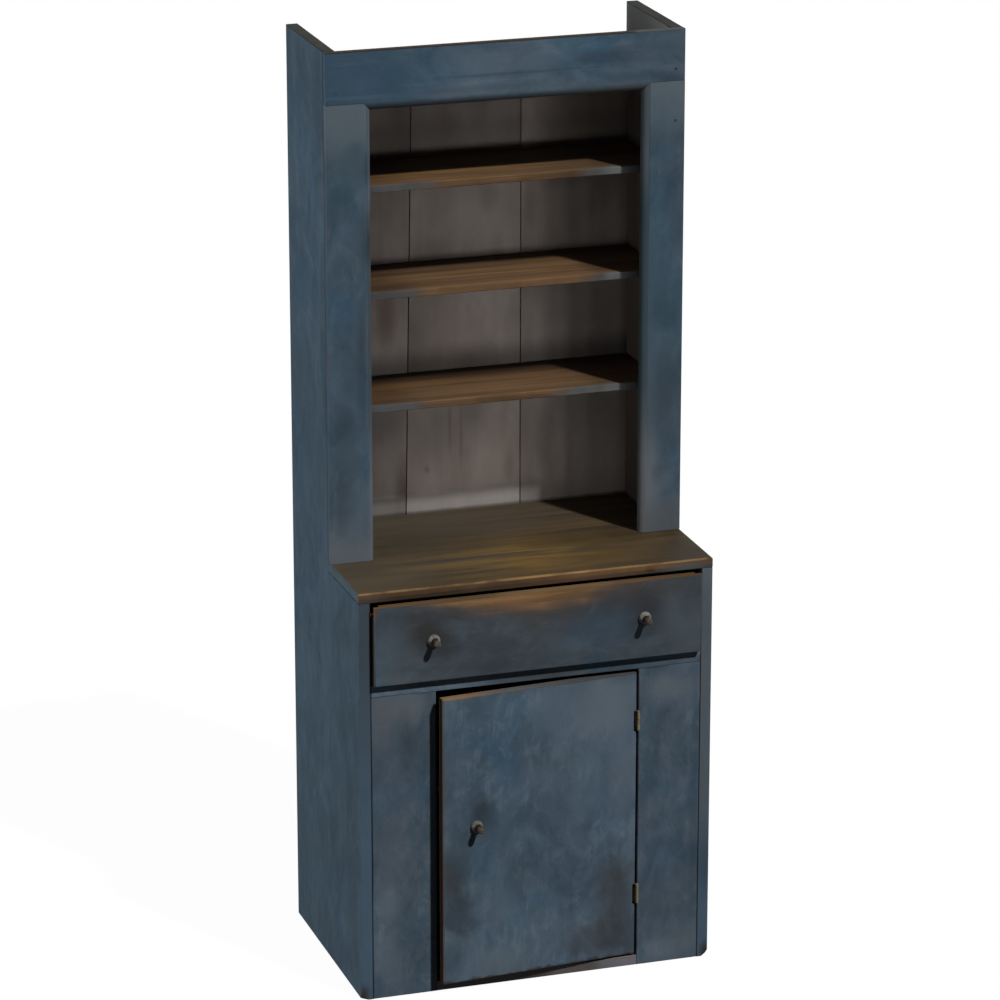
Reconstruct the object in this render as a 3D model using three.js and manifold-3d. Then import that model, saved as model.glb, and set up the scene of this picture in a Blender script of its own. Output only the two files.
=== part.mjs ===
// Step back cupboard: a tall painted pine cupboard with open shelves above a drawer and a door.
// Millimetres, +Z up, the front towards -Y. The origin is on the floor, in the middle of the case.

import * as THREE from 'three';
import { mergeVertices } from 'three/addons/utils/BufferGeometryUtils.js';
import Module from 'manifold-3d';

const wasm = await Module();
wasm.setup();

// Case
const caseWidth = 777;
const caseHeight = 2000;
const lowerDepth = 501;
const upperDepth = 297;
const sideThickness = 25;
const dadoDepth = 8;
const dadoClearance = 0.25;
const footCornerWear = 14;

// Counter board, the work surface at the step
const counterTop = 908;
const counterThickness = 22;

// Back boards, full height, side by side
const backThickness = 20;
const topWellDepth = 100;
const backFloorGap = 8;
const backSeamGap = 2;
const seamTopShares = [-0.336, 0.333];
const seamBottomShares = [-0.429, 0.325];

// Front frame of the upper case
const frameThickness = 18;
const upperLeftStileWidth = 95;
const upperRightStileWidth = 91;
const railHeight = 125;
const easedWidth = 15;
const easedDepth = 11;

// Open shelves and the board over them
const shelfThickness = 16;
const shelfDepth = 216;
const shelfNames = ['upper', 'middle', 'lower'];
const shelfShares = [0.82, 0.583, 0.3295];
const topBoardThickness = 20;

// Front frame of the lower case
const lowerStileThickness = 20;
const lowerLeftStileWidth = 141;
const lowerRightStileWidth = 138;
const drawerOpeningHeight = 182;
const dividerThickness = 26;
const dividerDepth = 70;
const bottomBoardThickness = 22;

// Runners that carry the drawer
const runnerWidth = 28;
const runnerHeight = 22;

// Shelf inside the lower cupboard, on its cleats
const innerShelfTop = 352;
const innerShelfThickness = 18;
const innerShelfSetback = 60;
const innerShelfSideGap = 1;
const cleatWidth = 20;
const cleatHeight = 28;

// Drawer
const drawerPulledOut = 15;
const drawerFrontThickness = 20;
const drawerSideGap = 3.5;
const drawerTopGap = 6.5;
const drawerBottomGap = 2.5;
const drawerRunningGap = 0.25;
const drawerBackClearance = 3;
const drawerSideThickness = 13;
const drawerSideHeight = 150;
const drawerLapDepth = 12;
const drawerBackThickness = 12;
const drawerBackDrop = 8;
const drawerBottomThickness = 8;
const drawerBottomRaise = 10;
const grooveDepth = 5;
const grooveClearance = 0.25;

// Door
const doorAjar = THREE.MathUtils.degToRad(4.5);
const doorThickness = 20;
const doorHingeGap = 4.75;
const doorLatchGap = 2;
const doorTopGap = 8.5;
const doorBottomGap = 5.5;
const battenThickness = 18;
const battenHeight = 60;
const battenInset = 22;
const battenFromEnd = 70;
const seatGap = 0.3;

// Butt hinges, iron, on the right edge of the door
const hingeHeight = 42;
const upperHingeDrop = 107.5;
const lowerHingeRaise = 139.5;
const hingeLeafWidth = 20;
const hingeLeafThickness = 1.5;
const hingePinProud = 3.4;
const hingePinInset = 1;
const knuckleRadius = 3.2;
const knuckleCount = 5;
const knuckleGap = 0.4;
const knuckleSwingGap = 0.2;
const pinRadius = 1.5;
const pinClearance = 0.1;
const pinHeadRadius = 2.6;
const pinHeadHeight = 1.5;
const notchWidth = 5.5;
const notchDepth = 8;
const notchHeight = 48;
const notchDrop = 1;

// Screws of the hinges
const screwRadius = 1.6;
const screwHeadRadius = 3.2;
const screwLength = 15;
const screwPoint = 4;
const screwFromEnd = 9;
const screwFromPin = 14.5;
const screwClearance = 0.3;

// Knobs: a round rosette, a post with a rounded end, and a nut inside
const drawerKnobShare = 0.644;
const drawerKnobRaise = 3.5;
const doorKnobFromEdge = 76;
const doorKnobHeight = 377;
const knobLength = 35;
const rosetteRadius = 13.5;
const rosetteThickness = 9;
const rosetteRim = 3;
const rosetteHollow = 2;
const postWaistRadius = 6.5;
const postEndRadius = 7;
const postEndLength = 9;
const shankRadius = 3;
const shankClearance = 0.3;
const shankPastNut = 2;
const nutAcross = 12;
const nutThickness = 6;

// Nails that hold the upper front frame to the side boards
const nailShank = 3;
const nailTip = 1.2;
const nailLength = 48;
const nailHead = 5;
const nailHeadThickness = 1.25;
const nailSunk = 0.25;
const nailClearance = 0.3;
const nailFromEnd = 20.5;
const railNailDrop = 84;
const stileNailDrop = 194;

// How finely round pieces are made, and how far every cut runs past what it cuts
const roundSides = 24;
const lathePoints = 8;
const easedSteps = 8;
const overrun = 2;

// Planes that the pieces share
const backFace = lowerDepth / 2;
const lowerFront = -lowerDepth / 2;
const upperFront = backFace - upperDepth;
const upperSideFront = upperFront + frameThickness;
const outsideX = caseWidth / 2;
const insideX = outsideX - sideThickness;
const backBoardFront = backFace - backThickness;
const shelfFront = backBoardFront - shelfDepth;
const openingTop = caseHeight - railHeight;
const backTop = caseHeight - topWellDepth;
const shelfTop = (share) => counterTop + share * (openingTop - counterTop);
const counterBottom = counterTop - counterThickness;
const railFaceLow = openingTop + easedWidth;
const dividerTop = counterBottom - drawerOpeningHeight;
const dividerBottom = dividerTop - dividerThickness;
const lowerStileBack = lowerFront + lowerStileThickness;
const openingLeft = -insideX + lowerLeftStileWidth;
const openingRight = insideX - lowerRightStileWidth;
const doorLeft = openingLeft + doorLatchGap;
const doorRight = openingRight - doorHingeGap;
const doorTop = dividerBottom - doorTopGap;
const doorBottom = bottomBoardThickness + doorBottomGap;
const hingeX = openingRight - hingePinInset;
const hingeY = lowerFront - hingePinProud;
const railNailHeight = caseHeight - railNailDrop;
const stileNailHeight = caseHeight - stileNailDrop;

// Finishes
function finish(color, roughness, metalness) {
  return new THREE.MeshStandardMaterial({ color, roughness, metalness });
}

const bluePaint = () => finish(0x3d4d5c, 0.6, 0);
const greyBluePaint = () => finish(0x4d5861, 0.6, 0);
const drawerPaint = () => finish(0x40464d, 0.6, 0);
const backPaint = () => finish(0x57504c, 0.75, 0);
const wornPine = () => finish(0x5f4a2f, 0.55, 0);
const barePine = () => finish(0x6b5236, 0.8, 0);
const iron = () => finish(0x4a443c, 0.5, 0.8);

// Geometry helpers

function box(x0, x1, y0, y1, z0, z1) {
  const shape = new THREE.BoxGeometry(x1 - x0, y1 - y0, z1 - z0);
  return shape.translate((x0 + x1) / 2, (y0 + y1) / 2, (z0 + z1) / 2);
}

// An outline drawn in X and Y, raised from z0 to z1.
function raised(points, z0, z1) {
  const outline = new THREE.Shape(points.map(([x, y]) => new THREE.Vector2(x, y)));
  const shape = new THREE.ExtrudeGeometry(outline, { depth: z1 - z0, bevelEnabled: false });
  return shape.translate(0, 0, z0);
}

// An outline drawn in X and Z, with its depth from y0 to y1.
function upright(points, y0, y1) {
  const shape = raised(points, -y1, -y0);
  return shape.rotateX(Math.PI / 2);
}

// An outline drawn in Y and Z, with its width from x0 to x1.
function sideways(points, x0, x1) {
  const shape = raised(points, x0, x1);
  return shape.rotateX(Math.PI / 2).rotateZ(Math.PI / 2);
}

// A profile of radius and distance along -Y, turned about the line through x and z, from the plane y.
function turned(profile, x, y, z) {
  const shape = new THREE.LatheGeometry(profile.map(([r, d]) => new THREE.Vector2(r, d)), roundSides);
  return shape.rotateX(Math.PI).translate(x, y, z);
}

function rodAlongZ(radius, x, y, z0, z1) {
  const shape = new THREE.CylinderGeometry(radius, radius, z1 - z0, roundSides);
  return shape.rotateX(Math.PI / 2).translate(x, y, (z0 + z1) / 2);
}

function toSolid(geometry) {
  const bare = new THREE.BufferGeometry();
  bare.setAttribute('position', geometry.getAttribute('position'));
  bare.setIndex(geometry.getIndex());
  const merged = mergeVertices(bare);
  return new wasm.Manifold(new wasm.Mesh({
    numProp: 3,
    vertProperties: new Float32Array(merged.getAttribute('position').array),
    triVerts: new Uint32Array(merged.getIndex().array),
  }));
}

function toGeometry(solid) {
  const mesh = solid.getMesh();
  const geometry = new THREE.BufferGeometry();
  geometry.setAttribute('position', new THREE.BufferAttribute(mesh.vertProperties, 3));
  geometry.setIndex(new THREE.BufferAttribute(mesh.triVerts, 1));
  const flat = geometry.toNonIndexed();
  flat.computeVertexNormals();
  return flat;
}

function cut(geometry, cutters) {
  return toGeometry(cutters.reduce((solid, cutter) => solid.subtract(toSolid(cutter)), toSolid(geometry)));
}

function join(geometries) {
  const solids = geometries.map(toSolid);
  return toGeometry(solids.reduce((whole, solid) => whole.add(solid)));
}

function add(group, name, geometry, material) {
  const mesh = new THREE.Mesh(geometry, material);
  mesh.name = name;
  group.add(mesh);
}

// Case boards

function dado(side, z0, z1, y0, y1) {
  const depth = insideX + dadoDepth;
  const [x0, x1] = side < 0 ? [-depth, -insideX + overrun] : [insideX - overrun, depth];
  return box(x0, x1, y0 - dadoClearance, y1, z0 - dadoClearance, z1 + dadoClearance);
}

function sideBoard(side) {
  const [x0, x1] = side < 0 ? [-outsideX, -insideX] : [insideX, outsideX];
  const outline = [
    [backFace, 0],
    [backFace, caseHeight],
    [upperSideFront, caseHeight],
    [upperSideFront, counterBottom],
    [lowerFront, counterBottom],
    [lowerFront, 0],
  ];
  const shelves = shelfShares.map(
    (share) => dado(side, shelfTop(share) - shelfThickness, shelfTop(share), shelfFront, backBoardFront));
  const top = dado(side, backTop - topBoardThickness, backTop, upperSideFront, backBoardFront);
  const wear = new THREE.OctahedronGeometry(footCornerWear).translate(side * outsideX, lowerFront, 0);
  const nails = [nailHole(side, railNailHeight), nailHole(side, stileNailHeight)];
  return cut(sideways(outline, x0, x1), [...shelves, top, wear, ...nails]);
}

function backBoards(group) {
  const half = backSeamGap / 2;
  const board = (name, bottomLeft, bottomRight, topRight, topLeft) => {
    const outline = [
      [bottomLeft, backFloorGap],
      [bottomRight, backFloorGap],
      [topRight, backTop],
      [topLeft, backTop],
    ];
    add(group, name, upright(outline, backBoardFront, backFace), backPaint());
  };
  const [leftTop, rightTop] = seamTopShares.map((share) => share * insideX);
  const [leftBottom, rightBottom] = seamBottomShares.map((share) => share * insideX);
  board('back_board_left', -insideX, leftBottom - half, leftTop - half, -insideX);
  board('back_board_middle', leftBottom + half, rightBottom - half, rightTop - half, leftTop + half);
  board('back_board_right', rightBottom + half, insideX, insideX, rightTop + half);
}

function counterBoard() {
  const outline = [
    [-outsideX, lowerFront],
    [outsideX, lowerFront],
    [outsideX, upperSideFront],
    [insideX, upperSideFront],
    [insideX, backBoardFront],
    [-insideX, backBoardFront],
    [-insideX, upperSideFront],
    [-outsideX, upperSideFront],
  ];
  return raised(outline, counterBottom, counterTop);
}

function bottomBoard() {
  const outline = [
    [openingLeft, lowerFront],
    [openingRight, lowerFront],
    [openingRight, lowerStileBack],
    [insideX, lowerStileBack],
    [insideX, backBoardFront],
    [-insideX, backBoardFront],
    [-insideX, lowerStileBack],
    [openingLeft, lowerStileBack],
  ];
  return raised(outline, 0, bottomBoardThickness);
}

function housedBoard(top, thickness, front) {
  const reach = insideX + dadoDepth - dadoClearance;
  return box(-reach, reach, front, backBoardFront, top - thickness, top);
}

// Front frame of the upper case, with one eased edge all round the opening

const upperOpeningLeft = -outsideX + upperLeftStileWidth;
const upperOpeningRight = outsideX - upperRightStileWidth;

// The waste of the eased edge, as across and inward distances from the edge's corner.
function easedWaste() {
  const points = [[-overrun, -overrun], [-overrun, easedDepth]];
  for (let i = 0; i <= easedSteps; i += 1) {
    const turn = (i / easedSteps) * Math.PI / 2;
    points.push([easedWidth * (1 - Math.cos(turn)), easedDepth * (1 - Math.sin(turn))]);
  }
  points.push([easedWidth, -overrun]);
  return points;
}

function upperStile(side) {
  const inner = side < 0 ? upperOpeningLeft : upperOpeningRight;
  const outline = [
    [side * outsideX, counterTop],
    [inner, counterTop],
    [inner, openingTop],
    [inner + side * easedWidth, railFaceLow],
    [side * outsideX, railFaceLow],
  ];
  if (side > 0) outline.reverse();
  const waste = easedWaste().map(([across, inward]) => [inner + side * across, upperFront + inward]);
  if (side > 0) waste.reverse();
  const eased = raised(waste, counterTop - overrun, railFaceLow + overrun);
  return cut(upright(outline, upperFront, upperSideFront), [eased, nailHole(side, stileNailHeight)]);
}

function topRail() {
  const outline = [
    [-outsideX, railFaceLow],
    [upperOpeningLeft - easedWidth, railFaceLow],
    [upperOpeningLeft, openingTop],
    [upperOpeningRight, openingTop],
    [upperOpeningRight + easedWidth, railFaceLow],
    [outsideX, railFaceLow],
    [outsideX, caseHeight],
    [-outsideX, caseHeight],
  ];
  const waste = easedWaste().map(([across, inward]) => [upperFront + inward, openingTop + across]);
  const eased = sideways(waste, -outsideX - overrun, outsideX + overrun);
  const nails = [nailHole(-1, railNailHeight), nailHole(1, railNailHeight)];
  return cut(upright(outline, upperFront, upperSideFront), [eased, ...nails]);
}

// Nails, square and tapered, driven from the front

function taperedSquare(size, tip, x, z, y0, y1) {
  const diagonal = Math.SQRT2;
  const shape = new THREE.CylinderGeometry(tip / diagonal, size / diagonal, y1 - y0, 4);
  return shape.rotateY(Math.PI / 4).translate(x, (y0 + y1) / 2, z);
}

const nailHeadTop = upperFront + nailSunk;
const nailHeadSeat = nailHeadTop + nailHeadThickness;

function nailHole(side, z) {
  const x = side * (outsideX - nailFromEnd);
  const grown = 2 * nailClearance;
  const head = taperedSquare(nailHead + grown, nailHead + grown, x, z, upperFront - overrun, nailHeadSeat);
  const shank = taperedSquare(nailShank + grown, nailTip + grown, x, z,
    nailHeadSeat - nailClearance, nailHeadSeat + nailLength + nailClearance);
  return join([head, shank]);
}

function nail(side, z) {
  const x = side * (outsideX - nailFromEnd);
  const head = taperedSquare(nailHead, nailHead, x, z, nailHeadTop, nailHeadSeat);
  const shank = taperedSquare(nailShank, nailTip, x, z,
    nailHeadSeat - nailClearance, nailHeadSeat + nailLength);
  return join([head, shank]);
}

// Hinges

const upperHinge = { name: 'upper', middle: doorTop - upperHingeDrop };
const lowerHinge = { name: 'lower', middle: doorBottom + lowerHingeRaise };
const hinges = [upperHinge, lowerHinge];
const screwY = hingeY + screwFromPin;

function screwHeights(middle) {
  const half = hingeHeight / 2 - screwFromEnd;
  return [middle - half, middle + half];
}

const allScrewHeights = hinges.flatMap(({ middle }) => screwHeights(middle));

// A countersunk screw along X, its head flush at x0, its point in the direction given. Grown, it is a hole.
function screw(x0, direction, z, grown) {
  const length = screwLength + grown;
  const tip = screwPoint + grown;
  const profile = [
    [0, -grown],
    [screwHeadRadius + grown, -grown],
    [screwHeadRadius + grown, 0],
    [screwRadius + grown, hingeLeafThickness],
    [screwRadius + grown, length - tip],
    [0, length],
  ];
  const shape = new THREE.LatheGeometry(profile.map(([r, d]) => new THREE.Vector2(r, d)), roundSides);
  return shape.rotateZ(-direction * Math.PI / 2).translate(x0, screwY, z);
}

// One leaf: a plate against the edge of the wood and every second knuckle round the pin.
function hingeLeaf(middle, side, edgeX, firstKnuckle) {
  const z0 = middle - hingeHeight / 2;
  const z1 = middle + hingeHeight / 2;
  const faceX = edgeX - side * hingeLeafThickness;
  const [x0, x1] = side > 0 ? [faceX, edgeX] : [edgeX, faceX];
  const plateStart = hingeY + knuckleRadius + knuckleSwingGap;
  const pieces = [box(x0, x1, plateStart, hingeY + hingeLeafWidth, z0, z1)];
  const pitch = hingeHeight / knuckleCount;
  for (let k = firstKnuckle; k < knuckleCount; k += 2) {
    const low = k === 0 ? z0 : z0 + k * pitch + knuckleGap / 2;
    const high = k === knuckleCount - 1 ? z1 : z0 + (k + 1) * pitch - knuckleGap / 2;
    pieces.push(rodAlongZ(knuckleRadius, hingeX, hingeY, low, high));
    pieces.push(box(x0, x1, hingeY, plateStart + overrun, low, high));
  }
  const bore = rodAlongZ(pinRadius + pinClearance, hingeX, hingeY, z0 - overrun, z1 + overrun);
  const holes = screwHeights(middle).map((z) => screw(faceX, side, z, screwClearance));
  return cut(join(pieces), [bore, ...holes]);
}

function hingePin(middle) {
  const z0 = middle - hingeHeight / 2;
  const z1 = middle + hingeHeight / 2;
  const pin = rodAlongZ(pinRadius, hingeX, hingeY, z0, z1 + pinHeadHeight / 2);
  const head = rodAlongZ(pinHeadRadius, hingeX, hingeY, z1, z1 + pinHeadHeight);
  return join([pin, head]);
}

// Lower front frame

function lowerLeftStile() {
  return box(-insideX, openingLeft, lowerFront, lowerStileBack, 0, dividerBottom);
}

function lowerRightStile() {
  const board = box(openingRight, insideX, lowerFront, lowerStileBack, 0, dividerBottom);
  const faceX = openingRight - hingeLeafThickness;
  const holes = allScrewHeights.map((z) => screw(faceX, 1, z, screwClearance));
  return cut(board, holes);
}

// Knobs

function rosette(x, y, z) {
  const bore = shankRadius + shankClearance;
  const profile = [[bore, 0], [rosetteRadius, 0], [rosetteRadius, rosetteRim]];
  const dome = rosetteThickness - rosetteRim;
  const hollowRadius = postWaistRadius + shankClearance;
  for (let i = 1; i <= lathePoints; i += 1) {
    const turn = (i / lathePoints) * Math.PI / 2;
    const radius = hollowRadius + (rosetteRadius - hollowRadius) * Math.cos(turn);
    profile.push([radius, rosetteRim + dome * Math.sin(turn)]);
  }
  profile.push([hollowRadius, rosetteThickness - rosetteHollow]);
  profile.push([bore, rosetteThickness - rosetteHollow]);
  profile.push([bore, 0]);
  return turned(profile, x, y, z);
}

function knob(x, y, z, boardThickness) {
  const shankEnd = -(boardThickness + seatGap + nutThickness + shankPastNut);
  const seat = rosetteThickness - rosetteHollow + seatGap;
  const profile = [[0, shankEnd], [shankRadius, shankEnd], [shankRadius, seat], [postWaistRadius, seat]];
  const endStart = knobLength - postEndLength;
  profile.push([postWaistRadius, endStart - postWaistRadius]);
  profile.push([postEndRadius, endStart]);
  for (let i = 1; i < lathePoints; i += 1) {
    const turn = (i / lathePoints) * Math.PI / 2;
    profile.push([postEndRadius * Math.cos(turn), endStart + postEndLength * Math.sin(turn)]);
  }
  profile.push([0, knobLength]);
  return turned(profile, x, y, z);
}

function nut(x, y, z) {
  const half = nutAcross / 2;
  const body = box(x - half, x + half, y, y + nutThickness, z - half, z + half);
  const radius = shankRadius + shankClearance;
  const bore = new THREE.CylinderGeometry(radius, radius, nutThickness + 2 * overrun, roundSides);
  return cut(body, [bore.translate(x, y + nutThickness / 2, z)]);
}

function shankHole(x, z, y0, y1) {
  const radius = shankRadius + shankClearance;
  const hole = new THREE.CylinderGeometry(radius, radius, y1 - y0 + 2 * overrun, roundSides);
  return hole.translate(x, (y0 + y1) / 2, z);
}

// Drawer, drawn shut and then pulled out

function buildDrawer() {
  const drawer = new THREE.Group();
  drawer.position.y = -drawerPulledOut;
  const half = insideX - drawerSideGap;
  const inner = half - drawerSideThickness;
  const frontBack = lowerFront + drawerFrontThickness;
  const lapStart = frontBack - drawerLapDepth;
  const rear = backBoardFront - drawerBackClearance;
  const low = dividerTop + drawerRunningGap;
  const frontLow = dividerTop + drawerBottomGap;
  const frontHigh = counterBottom - drawerTopGap;
  const panelLow = low + drawerBottomRaise;
  const panelHigh = panelLow + drawerBottomThickness;
  const panelReach = inner + grooveDepth - grooveClearance;
  const panelFront = frontBack - grooveDepth + grooveClearance;
  const backInside = rear - drawerBackDrop - drawerBackThickness;
  const sideHigh = low + drawerSideHeight;
  const knobPlaces = [-half * drawerKnobShare, half * drawerKnobShare];
  const knobHeight = (frontLow + frontHigh) / 2 + drawerKnobRaise;

  const groove = box(-inner - grooveDepth, inner + grooveDepth, frontBack - grooveDepth, rear + overrun,
    panelLow - grooveClearance, panelHigh + grooveClearance);
  const laps = [[-half - overrun, -inner], [inner, half + overrun]].map(
    ([x0, x1]) => box(x0, x1, lapStart, frontBack + overrun, frontLow - overrun, frontHigh + overrun));
  const holes = knobPlaces.map((x) => shankHole(x, knobHeight, lowerFront, frontBack));
  const front = box(-half, half, lowerFront, frontBack, frontLow, frontHigh);
  add(drawer, 'drawer_front', cut(front, [groove, ...laps, ...holes]), drawerPaint());
  [['left', -half, -inner], ['right', inner, half]].forEach(([name, x0, x1]) => {
    const side = cut(box(x0, x1, lapStart, rear, low, sideHigh), [groove]);
    add(drawer, `drawer_${name}_side`, side, barePine());
  });
  const back = box(-inner, inner, backInside, backInside + drawerBackThickness,
    panelHigh + grooveClearance, sideHigh);
  const panel = box(-panelReach, panelReach, panelFront, rear, panelLow, panelHigh);
  add(drawer, 'drawer_back', back, barePine());
  add(drawer, 'drawer_bottom', panel, barePine());
  ['left', 'right'].forEach((name, i) => {
    const x = knobPlaces[i];
    add(drawer, `drawer_${name}_rosette`, rosette(x, lowerFront, knobHeight), iron());
    add(drawer, `drawer_${name}_knob`, knob(x, lowerFront, knobHeight, drawerFrontThickness), iron());
    add(drawer, `drawer_${name}_knob_nut`, nut(x, frontBack, knobHeight), iron());
  });
  return drawer;
}

// Door, drawn shut and then turned about the hinge pins

function doorBoard() {
  const board = box(doorLeft, doorRight, lowerFront, lowerFront + doorThickness, doorBottom, doorTop);
  const notches = hinges.map(({ middle }) => box(doorRight - notchWidth, doorRight + overrun,
    lowerFront - overrun, lowerFront + notchDepth,
    middle - notchDrop - notchHeight / 2, middle - notchDrop + notchHeight / 2));
  const leafX = doorRight + seatGap + hingeLeafThickness;
  const screws = allScrewHeights.map((z) => screw(leafX, -1, z, screwClearance));
  const knobX = doorLeft + doorKnobFromEdge;
  const knobHole = shankHole(knobX, doorKnobHeight, lowerFront, lowerFront + doorThickness);
  return cut(board, [...notches, ...screws, knobHole]);
}

function buildDoor() {
  const door = new THREE.Group();
  door.position.set(hingeX, hingeY, 0);
  door.rotation.z = doorAjar;
  const place = (name, geometry, material) => {
    add(door, name, geometry.translate(-hingeX, -hingeY, 0), material);
  };
  const back = lowerFront + doorThickness + seatGap;
  const knobX = doorLeft + doorKnobFromEdge;
  const battens = [['upper', doorTop - battenFromEnd - battenHeight], ['lower', doorBottom + battenFromEnd]];

  place('door_board', doorBoard(), bluePaint());
  battens.forEach(([name, low]) => {
    const batten = box(doorLeft + battenInset, doorRight - battenInset, back, back + battenThickness,
      low, low + battenHeight);
    place(`door_${name}_batten`, batten, barePine());
  });
  place('door_rosette', rosette(knobX, lowerFront - seatGap, doorKnobHeight), iron());
  place('door_knob', knob(knobX, lowerFront - seatGap, doorKnobHeight, doorThickness + seatGap), iron());
  place('door_knob_nut', nut(knobX, back, doorKnobHeight), iron());
  hinges.forEach(({ name, middle }) => {
    const edge = doorRight + seatGap;
    place(`${name}_hinge_door_leaf`, hingeLeaf(middle, -1, edge, 1), iron());
    screwHeights(middle).forEach((z, i) => {
      place(`${name}_hinge_door_screw_${i + 1}`, screw(edge + hingeLeafThickness, -1, z, 0), iron());
    });
  });
  return door;
}

// Case, with everything that stays still

function buildCase() {
  const body = new THREE.Group();
  add(body, 'left_side_board', sideBoard(-1), bluePaint());
  add(body, 'right_side_board', sideBoard(1), bluePaint());
  backBoards(body);
  add(body, 'top_board', housedBoard(backTop, topBoardThickness, upperSideFront), barePine());
  add(body, 'top_rail', topRail(), bluePaint());
  add(body, 'upper_left_stile', upperStile(-1), greyBluePaint());
  add(body, 'upper_right_stile', upperStile(1), greyBluePaint());
  shelfShares.forEach((share, i) => {
    const shelf = housedBoard(shelfTop(share), shelfThickness, shelfFront);
    add(body, `${shelfNames[i]}_shelf`, shelf, wornPine());
  });
  add(body, 'counter_board', counterBoard(), wornPine());

  const dividerBack = lowerFront + dividerDepth;
  add(body, 'drawer_divider', box(-insideX, insideX, lowerFront, dividerBack, dividerBottom, dividerTop),
    greyBluePaint());
  add(body, 'lower_left_stile', lowerLeftStile(), greyBluePaint());
  add(body, 'lower_right_stile', lowerRightStile(), greyBluePaint());
  add(body, 'bottom_board', bottomBoard(), wornPine());

  const shelfLow = innerShelfTop - innerShelfThickness;
  const shelfReach = insideX - innerShelfSideGap;
  const shelfStart = lowerStileBack + innerShelfSetback;
  const innerShelf = box(-shelfReach, shelfReach, shelfStart, backBoardFront, shelfLow, innerShelfTop);
  add(body, 'cupboard_shelf', innerShelf, barePine());
  [['left', -1], ['right', 1]].forEach(([name, side]) => {
    const across = (width) => (side < 0 ? [-insideX, -insideX + width] : [insideX - width, insideX]);
    const runnerLow = dividerTop - runnerHeight;
    const runner = box(...across(runnerWidth), dividerBack, backBoardFront, runnerLow, dividerTop);
    add(body, `${name}_drawer_runner`, runner, barePine());
    const cleat = box(...across(cleatWidth), shelfStart, backBoardFront, shelfLow - cleatHeight, shelfLow);
    add(body, `${name}_shelf_cleat`, cleat, barePine());
    add(body, `${name}_rail_nail`, nail(side, railNailHeight), iron());
    add(body, `${name}_stile_nail`, nail(side, stileNailHeight), iron());
  });
  hinges.forEach(({ name, middle }) => {
    add(body, `${name}_hinge_stile_leaf`, hingeLeaf(middle, 1, openingRight, 0), iron());
    add(body, `${name}_hinge_pin`, hingePin(middle), iron());
    screwHeights(middle).forEach((z, i) => {
      const face = openingRight - hingeLeafThickness;
      add(body, `${name}_hinge_stile_screw_${i + 1}`, screw(face, 1, z, 0), iron());
    });
  });
  return body;
}

const cupboard = new THREE.Group();
cupboard.name = 'step_back_cupboard';
cupboard.add(buildCase(), buildDrawer(), buildDoor());

export default cupboard;
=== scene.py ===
import math

import bpy
from mathutils import Euler, Matrix, Vector


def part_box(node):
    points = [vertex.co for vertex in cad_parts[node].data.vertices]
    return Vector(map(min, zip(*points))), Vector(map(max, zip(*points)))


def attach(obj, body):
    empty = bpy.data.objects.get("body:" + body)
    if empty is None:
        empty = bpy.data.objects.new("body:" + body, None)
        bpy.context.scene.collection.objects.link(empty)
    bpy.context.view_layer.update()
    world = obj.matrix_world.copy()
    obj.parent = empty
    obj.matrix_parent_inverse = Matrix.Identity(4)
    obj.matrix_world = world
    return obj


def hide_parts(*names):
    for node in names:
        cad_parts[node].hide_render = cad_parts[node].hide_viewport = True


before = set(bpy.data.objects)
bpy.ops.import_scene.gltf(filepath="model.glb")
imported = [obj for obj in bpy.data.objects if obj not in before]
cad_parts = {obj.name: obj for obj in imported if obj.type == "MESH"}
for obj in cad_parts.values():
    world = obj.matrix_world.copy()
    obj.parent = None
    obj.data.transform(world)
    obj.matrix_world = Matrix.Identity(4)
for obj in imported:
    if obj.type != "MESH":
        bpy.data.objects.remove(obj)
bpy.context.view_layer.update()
scene = bpy.context.scene
scene.view_settings.view_transform = "Standard"

# The camera stands 9.9 m off, to the left of the front and above it, and looks down 18 degrees.
# Its frame is square.
camera_data = bpy.data.cameras.new("camera")
camera_data.sensor_width = 36
camera_data.lens = 168.81
camera_data.clip_end = 100
camera = bpy.data.objects.new("camera", camera_data)
camera.location = (-2.9290, -9.0064, 4.0635)
camera_down, camera_turn = 0.31311, -0.31431
camera.rotation_euler = Euler((math.pi / 2 - camera_down, 0, camera_turn))
scene.collection.objects.link(camera)
scene.camera = camera


# The key light is a small sun from the upper right, in front. Its shadows are crisp and dark.
# Six narrow spots in front light the open shelves, most of all from the right. A tall lamp far
# on the left fills the side, and a weak one behind fills the back.
def shine(name, kind, place, towards, strength, **settings):
    lamp = bpy.data.lights.new(name, kind)
    lamp.energy = strength
    for setting, value in settings.items():
        setattr(lamp, setting, value)
    made = bpy.data.objects.new(name, lamp)
    made.location = place
    direction = [t - p for p, t in zip(place, towards)]
    flat = math.hypot(direction[0], direction[1])
    made.rotation_euler = Euler((math.atan2(flat, -direction[2]), 0, math.atan2(-direction[0], direction[1])))
    made.visible_camera = False
    made.visible_glossy = False
    scene.collection.objects.link(made)


middle = (0, 0, 1.0)
shelves_middle = (0, 0.1, 1.33)
spots_away = 4.75
shine("key", "SUN", (1.55, -3.0, 4.75), middle, 4.05, angle=math.radians(3))
shine("fill_left", "AREA", (-4.5, 0.1, 1.8), middle, 118, shape="RECTANGLE", size=1.6, size_y=2.0)
shine("fill_back", "AREA", (2.4, 4.2, 2.0), middle, 70, size=1.5)
opening = {"spot_size": math.radians(12.8), "spot_blend": 0.4, "shadow_soft_size": 0.25}
for name, side, strength in (
    ("one", -30, 64), ("two", -8, 48), ("three", 8, 46),
    ("four", 18, 90), ("five", 27, 98), ("six", 36, 66),
):
    turn = math.radians(side)
    across, inward, up = shelves_middle
    place = (across + spots_away * math.sin(turn), inward - spots_away * math.cos(turn), up)
    shine("shelf_light_" + name, "SPOT", place, shelves_middle, strength, **opening)


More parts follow.
